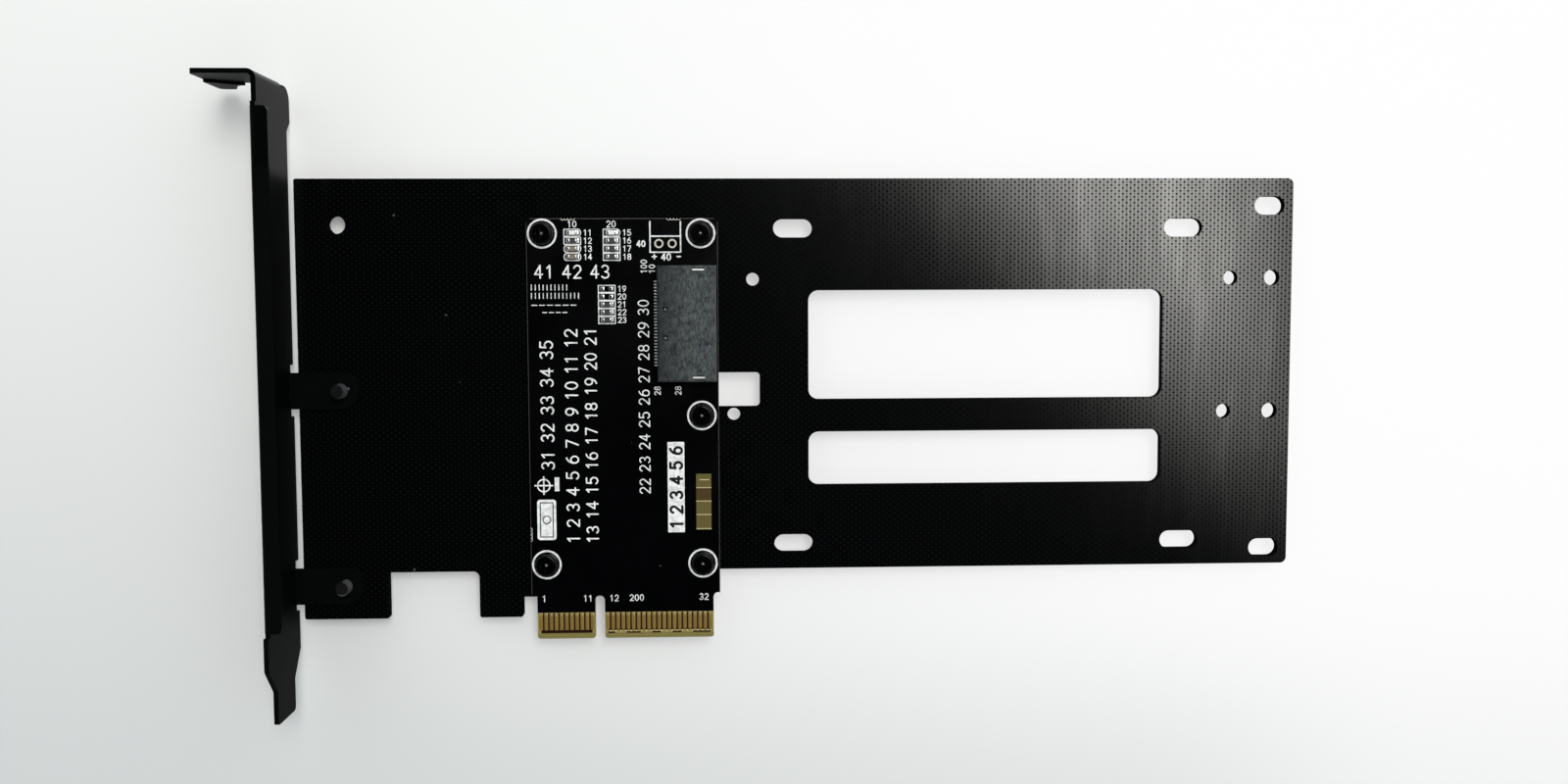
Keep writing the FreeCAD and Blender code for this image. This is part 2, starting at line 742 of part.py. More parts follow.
def contacts(upper):
    """One row of contacts: tail on the board, riser, and a beam along a wall of the mouth."""
    back_x, mouth_x, _, _, _, slot_low, slot_high = connector_frame()
    z0, t, gap = board_top_z, contact_thickness, contact_groove_clearance
    end_x = mouth_x - contact_setback
    if upper:
        riser_x, tail_x = back_x + gap, back_x - contact_tail
        beam, dip, rise = slot_high + groove_depth - gap, -contact_bump - groove_depth + t, -t
    else:
        riser_x, tail_x = back_x + rear_wall + contact_tail + gap, back_x + rear_wall + gap
        beam, dip, rise = slot_low - groove_depth + gap, contact_bump + groove_depth - t, t
    near, away = spring(end_x, beam, dip), spring(end_x, beam + rise, dip)
    if upper:
        points = [(tail_x, z0), (riser_x + t, z0)] + [(riser_x + t, beam - t)] + away
        points += near[::-1] + [(riser_x, beam), (riser_x, z0 + t), (tail_x, z0 + t)]
    else:
        points = [(tail_x, z0), (riser_x + t, z0)] + [(riser_x + t, beam)] + near
        points += away[::-1] + [(riser_x, beam + t), (riser_x, z0 + t), (tail_x, z0 + t)]
    return [contact_strip(points, y) for y in contact_rows_y()]


def hold_downs():
    """Metal blades that anchor the connector to the board."""
    half = hold_down_thickness / 2
    z0, z1 = board_top_z, board_top_z + connector_height - hold_down_recess
    return [box(x, x + hold_down_length, y - half, y + half, z0, z1) for x, y in hold_down_places()]


def column(inset, drop, pitch, rows):
    """Centres of chips in one column, counted from the top row."""
    return [(board_left + inset, -(board_top + drop + row * pitch)) for row in rows]


def lamp_places():
    left = column(left_column_inset, lamp_row_drop, chip_row_pitch, [0])
    middle = column(middle_column_inset, lamp_row_drop, chip_row_pitch, [0])
    return left, middle


def resistor_places():
    left = column(left_column_inset, lamp_row_drop, chip_row_pitch, [1])
    middle = column(middle_column_inset, lamp_row_drop, chip_row_pitch, [1, 2, 3])
    pull_ups = column(pull_up_column_inset, pull_up_row_drop, pull_up_pitch, [2, 3, 4])
    return left + middle + pull_ups


def capacitor_places():
    return column(left_column_inset, lamp_row_drop, chip_row_pitch, [2, 3])


def empty_places():
    return column(pull_up_column_inset, pull_up_row_drop, pull_up_pitch, [0, 1])


def chip(x, y, height):
    """Chip part with slightly thicker plated ends."""
    z0 = board_top_z + pad_thickness
    half, wide = chip_length / 2, chip_width / 2
    pieces = [box(x - half, x + half, y - wide, y + wide, z0, z0 + height)]
    grown, top = wide + terminal_wrap, z0 + height + terminal_wrap
    for end in (x - half, x + half - terminal_length):
        pieces.append(box(end, end + terminal_length, y - grown, y + grown, z0, top))
    return joined(pieces)


def lamp(x, y):
    """Chip lamp: flat base with a narrower clear lens on it."""
    z0 = board_top_z + pad_thickness
    z1 = z0 + led_base_height
    half, wide, lens = chip_length / 2, chip_width / 2, led_lens_length / 2
    base = box(x - half, x + half, y - wide, y + wide, z0, z1)
    return joined([base, box(x - lens, x + lens, y - wide, y + wide, z1, z1 + led_lens_height)])


def pads(places):
    """Two solder pads for each chip place."""
    solids = []
    half = pad_width / 2
    z0, z1 = board_top_z, board_top_z + pad_thickness
    for x, y in places:
        for x0 in (x - pad_gap / 2 - pad_length, x + pad_gap / 2):
            solids.append(box(x0, x0 + pad_length, y - half, y + half, z0, z1))
    return solids


def header_places():
    """Two plated holes for an unfitted lamp header."""
    x = board_right - header_inset_right
    y = -(board_top + header_drop)
    return [(x, y), (x + header_pitch, y)]


def header_hole(x, y):
    """Plated barrel with a ring on the board's upper face."""
    outer = header_hole_diameter + 2 * header_barrel_wall
    barrel = rod(x, y, plate_top_z, board_top_z, outer)
    ring = rod(x, y, board_top_z, board_top_z + pad_thickness, header_ring_diameter)
    bore = rod(x, y, plate_top_z, board_top_z + pad_thickness, header_hole_diameter)
    return joined([barrel, ring]).cut(bore)


def main():
    os.makedirs("parts", exist_ok=True)
    left_lamp, middle_lamp = lamp_places()
    chip_places = left_lamp + middle_lamp + resistor_places() + capacitor_places()
    export("carrier_plate", [carrier_plate()])
    export("slot_bracket", [slot_bracket()])
    export("bracket_screws", [bracket_screw(y) for y in tab_places])
    export("adapter_board", [adapter_board()])
    export("contact_fingers_front", contact_fingers(board_top_z, board_top_z + finger_thickness))
    export("contact_fingers_back", contact_fingers(plate_top_z - finger_thickness, plate_top_z))
    export("board_screws", [board_screw(x, y) for x, y in board_screw_places])
    export("board_nuts", [board_nut(x, y) for x, y in board_screw_places])
    export("connector_housing", [connector_housing()])
    export("connector_contacts_upper", contacts(True))
    export("connector_contacts_lower", contacts(False))
    export("connector_hold_downs", hold_downs())
    export("power_lamp", [lamp(x, y) for x, y in left_lamp])
    export("activity_lamp", [lamp(x, y) for x, y in middle_lamp])
    export("chip_resistors", [chip(x, y, resistor_height) for x, y in resistor_places()])
    export("chip_capacitors", [chip(x, y, capacitor_height) for x, y in capacitor_places()])
    export("chip_pads", pads(chip_places))
    export("bare_pads", pads(empty_places()))
    export("header_holes", [header_hole(x, y) for x, y in header_places()])


main()
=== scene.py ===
"""Dresses the drive adapter card: a finish for every CAD node, printed marks, fingers, solder and a stage.

Lengths are in metres, in the frame of the CAD model. Places on the board are written in millimetres from its
upper left corner, across and down, as the card lies in front of the camera.
"""
import math

import bmesh
import bpy
import numpy as np
from mathutils import Matrix, Vector


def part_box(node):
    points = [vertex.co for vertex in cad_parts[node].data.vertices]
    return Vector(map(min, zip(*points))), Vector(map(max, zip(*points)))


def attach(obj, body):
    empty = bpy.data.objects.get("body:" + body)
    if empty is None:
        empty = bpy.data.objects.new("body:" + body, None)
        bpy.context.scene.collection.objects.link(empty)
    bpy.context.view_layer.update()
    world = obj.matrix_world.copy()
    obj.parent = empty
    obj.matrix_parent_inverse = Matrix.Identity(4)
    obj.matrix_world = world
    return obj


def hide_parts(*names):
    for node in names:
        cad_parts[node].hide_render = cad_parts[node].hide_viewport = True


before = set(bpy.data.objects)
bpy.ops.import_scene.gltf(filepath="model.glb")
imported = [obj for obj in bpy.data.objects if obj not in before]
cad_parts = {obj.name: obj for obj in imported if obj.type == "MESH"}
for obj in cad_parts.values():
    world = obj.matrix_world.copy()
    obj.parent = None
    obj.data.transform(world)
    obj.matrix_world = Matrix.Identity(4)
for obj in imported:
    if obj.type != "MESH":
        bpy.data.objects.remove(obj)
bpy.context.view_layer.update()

bl_info = {
    "name": "Drive adapter card",
    "version": (1, 0, 0),
    "blender": (4, 5, 0),
    "location": "View3D > Sidebar > Card",
    "description": "Finishes, printed marks, solder and stage of a drive adapter card",
    "category": "Object",
}

MM = 0.001
FILM = 0.006 * MM
RESIN_FILM = 0.004 * MM
WELD_GAP = 1e-8
MEETING_GAP = 1e-7
board_low, board_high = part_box("adapter_board")
plate_low, plate_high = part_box("carrier_plate")
finger_low, finger_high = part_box("contact_fingers_front")
housing_low, housing_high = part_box("connector_housing")
tail_low, tail_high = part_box("connector_contacts_upper")
blade_low, blade_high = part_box("connector_hold_downs")
head_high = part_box("board_screws")[1]


def number(name, description, value, least=0.0, **more):
    return bpy.props.FloatProperty(name=name, description=description, default=value, min=least, **more)


def length(name, description, millimetres):
    return number(name, description, millimetres * MM, unit="LENGTH", precision=6)


def colour(name, description, red, green, blue):
    return bpy.props.FloatVectorProperty(
        name=name, description=description, default=(red, green, blue), min=0.0, max=1.0, size=3,
        subtype="COLOR")


class CardSizes(bpy.types.PropertyGroup):
    """Sizes of the details that Blender adds to the card"""

    weave_across: length("Weave across", "Pitch of the glass weave across the plate", 0.758)
    weave_along: length("Weave along", "Pitch of the glass weave along the plate", 0.573)
    ink_thickness: length("Ink thickness", "How far the print stands on the solder mask", 0.012)
    bold_line: length("Bold line", "Line width of large numbers", 0.30)
    fine_line: length("Fine line", "Line width of part outlines and small numbers", 0.175)
    ring_diameter: length("Screw ring", "Diameter of the printed ring at a screw, along its line", 5.36)
    finger_pitch: length("Finger pitch", "Pitch of the contact fingers", 1.0)
    finger_width: length("Finger width", "Width of one contact finger", 0.7)
    tail_pitch: length("Tail pitch", "Pitch of the connector's solder tails", 0.6)
    chip_length: length("Chip length", "Length of a chip part", 1.6)
    chip_width: length("Chip width", "Width of a chip part", 0.8)
    terminal_length: length("Terminal length", "Length of a chip's tinned end", 0.32)


class CardColours(bpy.types.PropertyGroup):
    """Colours of the card's materials, as scene linear values"""

    laminate: colour("Plate laminate", "Black glass laminate of the carrier plate", 0.0008, 0.0009, 0.0011)
    laminate_fibre: colour("Plate edge", "Routed edge of the carrier plate", 0.006, 0.006, 0.006)
    paint: colour("Bracket paint", "Black paint of the slot bracket", 0.0016, 0.0019, 0.0020)
    mask: colour("Solder mask", "Black solder mask of the board", 0.0006, 0.0007, 0.0011)
    board_fibre: colour("Board edge", "Bare glass laminate of the board", 0.245, 0.207, 0.058)
    board_resin: colour("Board resin", "Dark resin between the contact fingers", 0.020, 0.0055, 0.0030)
    ink: colour("White ink", "Printed marks of the board", 0.86, 0.87, 0.87)
    gold: colour("Finger gold", "Thin gold of the contact fingers", 0.264, 0.173, 0.044)
    tin: colour("Tin", "Solder, tails and pads", 0.62, 0.63, 0.63)
    plastic: colour("Connector plastic", "Grey black plastic of the connector", 0.050, 0.057, 0.060)
    capacitor: colour("Capacitor body", "Beige grey ceramic of the capacitors", 0.20, 0.155, 0.115)
    resistor: colour("Resistor body", "Dark glaze of the resistors", 0.035, 0.035, 0.037)
    lens: colour("Lamp lens", "Milky lens of the lamps", 0.97, 0.97, 0.94)
    screw: colour("Screw black", "Blackened steel of the screws", 0.011, 0.011, 0.012)
    nut: colour("Nut steel", "Plain steel of the nuts", 0.50, 0.49, 0.47)


class StageSettings(bpy.types.PropertyGroup):
    """Light, floor and lens of the stage"""

    floor: colour("Floor", "Plain pale floor at its brightest", 0.985, 0.99, 0.99)
    lens: number("Lens", "Focal length on a sensor 36 mm wide", 31.6937, least=1.0)
    panel_level: number("Ceiling light", "Brightness of the soft light that the plate mirrors", 11.0)
    sky_level: number("Surround", "Brightness of the pale walls round the table", 0.70)


# Surfaces


def grid_faces(rows, columns):
    """Four-cornered faces of a grid of points, row after row."""
    row, column = np.meshgrid(np.arange(rows - 1), np.arange(columns - 1), indexing="ij")
    corner = (row * columns + column).reshape(-1)
    return np.stack([corner, corner + columns, corner + columns + 1, corner + 1], axis=1)


def add_piece(name, grids, material, tones=None, thickness=0.0, smooth=True):
    """Puts grids of points into one mesh, welds their seams and poles, and sets it on the card."""
    counts = np.cumsum([0] + [grid.shape[0] * grid.shape[1] for grid in grids])
    faces = np.vstack([grid_faces(*grid.shape[:2]) + start for grid, start in zip(grids, counts)])
    points = np.vstack([grid.reshape(-1, 3) for grid in grids])
    mesh = bpy.data.meshes.new(name)
    mesh.from_pydata(points.tolist(), [], faces.tolist())
    if tones is not None:
        sizes = [(grid.shape[0] - 1) * (grid.shape[1] - 1) for grid in grids]
        layer = mesh.attributes.new("tone", "FLOAT", "FACE")
        layer.data.foreach_set("value", np.repeat(np.asarray(tones, np.float32), sizes))
    work = bmesh.new()
    work.from_mesh(mesh)
    bmesh.ops.remove_doubles(work, verts=work.verts, dist=WELD_GAP)
    work.to_mesh(mesh)
    work.free()
    mesh.polygons.foreach_set("use_smooth", np.full(len(mesh.polygons), smooth))
    mesh.materials.append(material)
    piece = bpy.data.objects.new(name, mesh)
    bpy.context.scene.collection.objects.link(piece)
    if thickness:
        wall = piece.modifiers.new("wall", "SOLIDIFY")
        wall.thickness = thickness
        wall.offset = -1.0
    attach(piece, "root")
    return piece


def surface(x, y, z):
    """Grid of points from its coordinates, each given as a table, a row, a column or one number."""
    return np.stack(np.broadcast_arrays(x, y, z), axis=-1)


def superellipse(squareness, sides, way_round=1):
    """Closed outline of half width 1: cosine and sine of a turn, each to the power 2 over squareness."""
    turn = np.append(np.linspace(0.0, way_round * 2 * np.pi, sides, endpoint=False), 0.0)
    return [np.sign(wave) * np.abs(wave) ** (2 / squareness) for wave in (np.cos(turn), np.sin(turn))]


def dome(x, y, half_x, half_y, base, height, squareness=5.0, crown=3.0, rings=5, sides=20):
    """Low cushion: a superellipse outline scaled from 0 to 1, its height falling as 1 minus a power of the
    scale, closed underneath."""
    scale = np.concatenate([np.linspace(0.0, 1.0, rings) ** 0.6, [0.0]])
    level = np.concatenate([1.0 - scale[:-1] ** crown, [0.0]])
    across, along = superellipse(squareness, sides)
    return surface(x + half_x * np.outer(scale, across), y + half_y * np.outer(scale, along),
                   base + height * level[:, None])


def rounded_bar(x0, x1, y, half, z0, z1, squareness=7.0, sides=20):
    """Bar along X: a superellipse section carried from end to end, drawn in a little at both ends."""
    scale = np.array([0.0, 0.90, 1.0, 1.0, 0.90, 0.0])
    edge = 0.12 * (x1 - x0)
    place = np.array([x0, x0, x0 + edge, x1 - edge, x1, x1])
    across, up = superellipse(squareness, sides, way_round=-1)
    return surface(place[:, None], y + half * np.outer(scale, across),
                   (z0 + z1) / 2 + (z1 - z0) / 2 * np.outer(scale, up))


def solder_ramp(x, side, reach, y, half, base, height):
    """Concave fillet: its height is a power of what is left of the way out, times 1 minus the sixth power of
    the way to a flank."""
    out = np.linspace(0.0, 1.0, 7)
    flank = np.linspace(-1.0, 1.0, 9) * side
    level = np.outer((1.0 - out) ** 2.2, 1.0 - np.abs(flank) ** 6)
    return surface(x + side * reach * out[:, None], y + half * flank, base + height * level)


def finger(x, top, bottom, half, base, height, rounded):
    """Flat finger: rows along its length, columns across it, crowned as 1 minus the eighth power of the way
    across. The half width follows a circle over the last stretch where the end is rounded."""
    slope = 0.012
    way = np.concatenate([[0.0, slope], np.linspace(0.06, 0.86, 5), np.linspace(0.89, 1.0, 7)])
    drawn_in = np.clip((way - 0.9) / 0.1, 0.0, 1.0)
    width = half * (np.sqrt(1.0 - 0.86 * drawn_in ** 2) if rounded else np.ones_like(way))
    across = np.array([-1.0, -0.97, -0.85, -0.4, 0.0, 0.4, 0.85, 0.97, 1.0])
    standing = np.minimum(np.minimum(way, 1.0 - way) / slope, 1.0)
    level = np.outer(standing, 1.0 - np.abs(across) ** 8)
    grid = surface(x + np.outer(width, across), top + (bottom - top) * way[:, None], base + height * level)
    return grid[:, ::-1]


def level_strip(right, left, z):
    """Flat strip between two edge lines, lying at one height."""
    edges = np.stack([right, left], axis=1)
    return surface(edges[..., 0], edges[..., 1], z)


def pen_line(path, width, z):
    """Printed line: every point of the path gets an edge half a width to its right and left. At both ends of
    an open path the half width falls as a circle's does; a closed path meets itself."""
    path = np.asarray(path, float)
    heading = np.gradient(path, axis=0)
    closed = np.linalg.norm(path[0] - path[-1]) < MEETING_GAP
    if closed:
        heading[[0, -1]] = path[1] - path[-2]
    heading /= np.linalg.norm(heading, axis=1, keepdims=True)
    bend = np.radians([] if closed else [82.0, 56.0, 28.0])
    before = path[0] - np.outer(np.sin(bend), heading[0]) * width / 2
    after = path[-1] + np.outer(np.sin(bend[::-1]), heading[-1]) * width / 2
    centre = np.vstack([before, path, after])
    half = np.concatenate([np.cos(bend), np.ones(len(path)), np.cos(bend[::-1])])[:, None] * width / 2
    first, last = (np.repeat(heading[[row]], len(bend), axis=0) for row in (0, -1))
    heading = np.vstack([first, heading, last])
    aside = np.stack([-heading[:, 1], heading[:, 0]], axis=1)
    return level_strip(centre - aside * half, centre + aside * half, z)


def pen_lines(paths, width, z):
    """Printed lines at a few levels in turn, a hair apart, so that no neighbours share a plane."""
    hair, levels = 0.0007 * MM, 6
    return [pen_line(path, width, z + hair * (index % levels)) for index, path in enumerate(paths)]


def arc(x, y, half_x, half_y, start, end, steps=14):
    """Part of an ellipse between two angles in degrees."""
    turn = np.radians(np.linspace(start, end, steps))
    return np.stack([x + half_x * np.cos(turn), y + half_y * np.sin(turn)], axis=1)


def run(*points):
    return np.array(points, float)


def chain(*points):
    """Straight strokes from each point to the next."""
    return [run(*pair) for pair in zip(points[:-1], points[1:])]


SIGN_PITCH, SIGN_GAP = 0.85, 0.25
SIX = [arc(0.30, 0.32, 0.28, 0.32, 0, 360, 20), arc(0.52, 0.32, 0.50, 0.68, 180, 98, 8)]
NUMERALS = {
    "0": [arc(0.30, 0.50, 0.28, 0.50, 0, 360, 24)],
    "1": chain((0.12, 0.80), (0.34, 1.0), (0.34, 0.0)),
    "2": [arc(0.30, 0.72, 0.27, 0.28, 165, -38)] + chain((0.51, 0.55), (0.03, 0.0), (0.58, 0.0)),
    "3": [arc(0.28, 0.75, 0.25, 0.25, 150, -90), arc(0.28, 0.25, 0.29, 0.25, 90, -150)],
    "4": chain((0.42, 0.0), (0.42, 1.0), (0.0, 0.30), (0.60, 0.30)),
    "5": chain((0.53, 1.0), (0.10, 1.0), (0.07, 0.56)) + [arc(0.28, 0.32, 0.30, 0.32, 133, -150)],
    "6": SIX,
    "7": chain((0.02, 1.0), (0.58, 1.0), (0.20, 0.0)),
    "8": [arc(0.30, 0.75, 0.24, 0.25, 0, 360, 20), arc(0.30, 0.26, 0.28, 0.26, 0, 360, 20)],
    "9": [np.array([0.6, 1.0]) - stroke for stroke in SIX],
    "+": [run((0.0, 0.5), (0.6, 0.5)), run((0.3, 0.2), (0.3, 0.8))],
    "-": [run((0.05, 0.5), (0.55, 0.5))],
}


def on_board(across, down):
    """Place on the board's upper face, from millimetres across and down."""
    return np.array([board_low.x + across * MM, board_high.y - down * MM])


def board_strokes(*rows):
    """Straight strokes on the board, each from one place across and down to another."""
    return [run(on_board(*row[:2]), on_board(*row[2:])) for row in rows]


def circle(place, radius, steps):
    return arc(*on_board(*place), radius, radius, 0, 360, steps)


def label_lines(label, across, down, height, level=True):
    """Pen paths of a number whose foot starts at a place, either level or read from below to above."""
    turn = np.eye(2) if level else np.array([[0.0, 1.0], [-1.0, 0.0]])
    foot = on_board(across, down)
    paths = []
    for index, sign in enumerate(label):
        shift = np.array([SIGN_PITCH * index, 0.0])
        paths += [foot + (stroke + shift) @ turn * height * MM for stroke in NUMERALS[sign]]
    return paths


def counted_row(first, last, across, down, span, height, level):
    """Counting numbers spread evenly along a run: the space left over by their widths is shared."""
    labels = [str(count) for count in range(first, last + 1)]
    widths = [(SIGN_PITCH * len(label) - SIGN_GAP) * height for label in labels]
    gap = (span - sum(widths)) / (len(labels) - 1)
    paths, way = [], 0.0
    for label, width in zip(labels, widths):
        place = (across + way, down) if level else (across, down - way)
        paths += label_lines(label, *place, height, level)
        way += width + gap
    return paths


def field(z, left, top, right, bottom, corner=0.0):
    """Filled patch: rows from top to bottom between a left and a right edge, with corners of circles."""
    way = np.linspace(0.0, 1.0, 9)
    ease = corner * (1.0 - np.sin(way * np.pi / 2))
    drop = corner * (1.0 - np.cos(way * np.pi / 2))
    down = np.concatenate([top + drop, (bottom - drop)[::-1]])
    inset = np.concatenate([ease, ease[::-1]])
    sides = (left + inset, right - inset)
    return level_strip(*[np.stack([on_board(*place) for place in zip(side, down)]) for side in sides], z)


# Shading


def add_node(tree, kind, inputs=None, **options):
    """Adds a shader node, with values or links on its inputs."""
    made = tree.nodes.new("ShaderNode" + kind)
    for name, value in options.items():
        setattr(made, name, value)
    for key, value in (inputs or {}).items():
        if isinstance(value, bpy.types.NodeSocket):
            tree.links.new(value, made.inputs[key])
        else:
            made.inputs[key].default_value = value
    return made


def link(value, socket):
    value.id_data.links.new(value, socket)


def calc(operation, *values):
    """Math node in the tree of the first value that is a socket."""
    tree = next(value.id_data for value in values if isinstance(value, bpy.types.NodeSocket))
    return add_node(tree, "Math", dict(enumerate(values)), operation=operation).outputs[0]


def times(first, second):
    return calc("MULTIPLY", first, second)


def most(first, second):
    return calc("MAXIMUM", first, second)


def fade(value, low, high, start=0.0, end=1.0):
    """Smooth step of a value between two limits."""
    inputs = {"Value": value, "From Min": low, "From Max": high, "To Min": start, "To Max": end}
    return add_node(value.id_data, "MapRange", inputs, interpolation_type="SMOOTHSTEP").outputs["Result"]


def spread(cloud, low, high):
    """Soft noise widened to run from one value to another."""
    return fade(cloud, 0.3, 0.7, low, high)


def tint(amount, first, second):
    """Mix of two colours by a mask."""
    solid = [v if isinstance(v, bpy.types.NodeSocket) else (*v, 1.0) for v in (first, second)]
    inputs = {0: amount, 6: solid[0], 7: solid[1]}
    return add_node(amount.id_data, "Mix", inputs, data_type="RGBA").outputs[2]


def scaled(values, factor):
    return tuple(min(v * factor, 1.0) for v in values)


def shades(amount, tone, low, high):
    """Darker and lighter shade of one tone, mixed by a mask."""
    return tint(amount, scaled(tone, low), scaled(tone, high))


def parts(vector):
    return add_node(vector.id_data, "SeparateXYZ", {0: vector}).outputs


def distance(vector, point):
    made = add_node(vector.id_data, "VectorMath", {0: vector, 1: point}, operation="DISTANCE")
    return made.outputs["Value"]


def stretched(vector, narrow, turn):
    """Place turned about the upright axis and squeezed one way, which draws noise out into strokes."""
    inputs = {"Vector": vector, "Scale": (1.0, narrow, 1.0), "Rotation": (0.0, 0.0, turn)}
    return add_node(vector.id_data, "Mapping", inputs).outputs[0]


def noise(vector, scale, detail, roughness=0.5, distortion=0.0):
    inputs = {"Vector": vector, "Scale": scale, "Detail": detail}
    inputs |= {"Roughness": roughness, "Distortion": distortion}
    return add_node(vector.id_data, "TexNoise", inputs).outputs["Fac"]


def new_effect(name, inputs, outputs):
    """Empty shader node group with named sockets."""
    group = bpy.data.node_groups.new(name, "ShaderNodeTree")
    for socket, kind in inputs.items():
        group.interface.new_socket(socket, in_out="INPUT", socket_type="NodeSocket" + kind)
    for socket in outputs:
        group.interface.new_socket(socket, in_out="OUTPUT", socket_type="NodeSocketFloat")
    return group.nodes.new("NodeGroupInput").outputs, group.nodes.new("NodeGroupOutput").inputs


def glass_weave():
    """Crossings of a plain weave: the product of a cosine across and a cosine along, whose crests are dots.
    The square of the cosine across is the furrow between two threads."""
    given, out = new_effect("glass weave", {"Vector": "Vector", "Across": "Float", "Along": "Float"},
                            ["Dots", "Threads", "Furrows"])
    place = parts(given["Vector"])
    across, along = (calc("COSINE", calc("DIVIDE", times(way, math.pi), given[pitch]))
                     for way, pitch in ((place[0], "Across"), (place[1], "Along")))
    both = times(across, along)
    main = fade(both, 0.38, 0.80)
    faint = fade(both, -0.66, -0.96, 0.0, 0.30)
    link(times(across, across), out["Furrows"])
    link(calc("ADD", main, faint), out["Dots"])
    link(calc("MULTIPLY_ADD", both, 0.5, 0.5), out["Threads"])


def cloudy():
    """Two sizes of soft noise: a broad one for smudges and a fine one for grain."""
    given, out = new_effect("cloudy", {"Vector": "Vector", "Scale": "Float"}, ["Broad", "Grain"])
    finer = times(given["Scale"], 9.0)
    link(noise(given["Vector"], given["Scale"], detail=4.0, roughness=0.6, distortion=0.4), out["Broad"])
    link(noise(given["Vector"], finer, detail=3.0), out["Grain"])


def dust():
    """Scattered grains: discs round cell points, kept where the cell's random number is under a share."""
    given, out = new_effect("dust", {"Vector": "Vector", "Scale": "Float", "Share": "Float"}, ["Grains"])
    inputs = {"Vector": given["Vector"], "Scale": given["Scale"]}
    cells = add_node(given["Vector"].id_data, "TexVoronoi", inputs).outputs
    drawn = parts(cells["Color"])
    size = calc("MULTIPLY_ADD", drawn[1], 0.10, 0.03)
    inside = calc("LESS_THAN", cells["Distance"], size)
    kept = calc("GREATER_THAN", given["Share"], drawn[0])
    link(times(inside, kept), out["Grains"])


def laminate_edge():
    """Cut wall of a laminate: fine lines along the sheet, broken by noise, where the wall stands upright."""
    given, out = new_effect("laminate edge", {"Vector": "Vector", "Normal": "Vector", "Pitch": "Float"},
                            ["Wall", "Lines"])
    upright = 0.35
    facing = parts(given["Normal"])[2]
    link(calc("LESS_THAN", calc("ABSOLUTE", facing), upright), out["Wall"])
    turn = calc("DIVIDE", times(parts(given["Vector"])[2], 2 * math.pi), given["Pitch"])
    lines = calc("MULTIPLY_ADD", calc("SINE", turn), 0.25, 0.5)
    rough = times(noise(given["Vector"], scale=5200.0, detail=3.0), 2.0)
    link(times(lines, rough), out["Lines"])


class Look:
    """Material in the making: a Principled shader, the place on the piece, and two sizes of soft noise."""

    def __init__(self, name, noise_scale, **fixed):
        """Starts a material whose plain values are set on the shader's own sockets."""
        self.material = bpy.data.materials.new(name)
        self.material.use_nodes = True
        self.tree = self.material.node_tree
        self.tree.nodes.clear()
        self.shader = add_node(self.tree, "BsdfPrincipled")
        for key, value in fixed.items():
            self.shader.inputs[key.replace("_", " ").title().replace("Ior", "IOR")].default_value = value
        output = add_node(self.tree, "OutputMaterial", {"Surface": self.shader.outputs[0]})
        output.is_active_output = True
        self.place = add_node(self.tree, "TexCoord").outputs["Object"]
        self.broad, self.grain = self.effect("cloudy", scale=noise_scale)

    def effect(self, name, **values):
        """Places a shared effect in the material and gives its outputs."""
        inputs = {key.capitalize(): value for key, value in {"vector": self.place, **values}.items()}
        return add_node(self.tree, "Group", inputs, node_tree=bpy.data.node_groups[name]).outputs

    def normal(self):
        return add_node(self.tree, "NewGeometry").outputs["Normal"]

    def tone(self):
        """Tone that each face carries."""
        return add_node(self.tree, "Attribute", attribute_name="tone").outputs["Fac"]

    def dusted(self, base, tone, scale, share, amount):
        """Colour with scattered grains of another tone in it."""
        grains = self.effect("dust", scale=scale, share=share)["Grains"]
        return tint(times(grains, amount), base, tone)

    def wire(self, base, roughness=None, metallic=None, coat=None, height=None, strength=0.2, depth=0.01):
        """Links the worked-out looks to the shader, with a bump as deep as some millimetres."""
        looks = {"Base Color": base, "Roughness": roughness, "Metallic": metallic, "Coat Weight": coat}
        if height is not None:
            bump = {"Height": height, "Strength": strength, "Distance": depth * MM}
            looks["Normal"] = add_node(self.tree, "Bump", bump).outputs[0]
        for key, value in looks.items():
            if value is not None:
                link(value, self.shader.inputs[key])
        return self.material


def dress(material, *nodes):
    """Gives CAD nodes their material."""
    for node in nodes:
        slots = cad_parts[node].data.materials
        slots.clear()
        slots.append(material)


def plate_finish(sizes, colours):
    """Black woven laminate: paler dots at the weave's crossings, where a smooth resin coat thins out, their
    paleness partly painted light for the glints of the crossings, with wiped smudges and dust, and a dull
    cut edge."""
    look = Look("plate_laminate", 38.0, ior=1.01, roughness=0.8, coat_ior=1.52, coat_roughness=0.115)
    weave = look.effect("glass weave", across=sizes.weave_across, along=sizes.weave_along)
    edge = look.effect("laminate edge", normal=look.normal(), pitch=0.21 * MM)
    streak = look.effect("cloudy", vector=stretched(look.place, narrow=0.16, turn=0.7), scale=240.0)["Broad"]
    face = shades(look.grain, colours.laminate, 0.6, 1.5)
    # Painted light: the weave's dots get a paler colour, which stands in for the glints of the crossings,
    # over the real weave pattern.
    face = tint(times(weave["Dots"], 0.9), face, (0.0050, 0.0060, 0.0066))
    face = look.dusted(face, (0.30, 0.31, 0.32), scale=420.0, share=0.05, amount=0.2)
    wall = shades(edge["Lines"], colours.laminate_fibre, 0.25, 1.9)
    thin = calc("MULTIPLY_ADD", weave["Furrows"], 0.30, times(weave["Dots"], 0.75))
    coat = calc("SUBTRACT", spread(look.broad, 0.92, 1.06), thin)
    coat = calc("ADD", coat, fade(streak, 0.46, 0.70, -0.05, 0.16))
    coat = times(most(coat, 0.0), calc("SUBTRACT", 1.0, edge["Wall"]))
    dents = calc("SUBTRACT", 1.0, weave["Dots"])
    return look.wire(tint(edge["Wall"], face, wall), coat=coat, height=dents, strength=0.25)


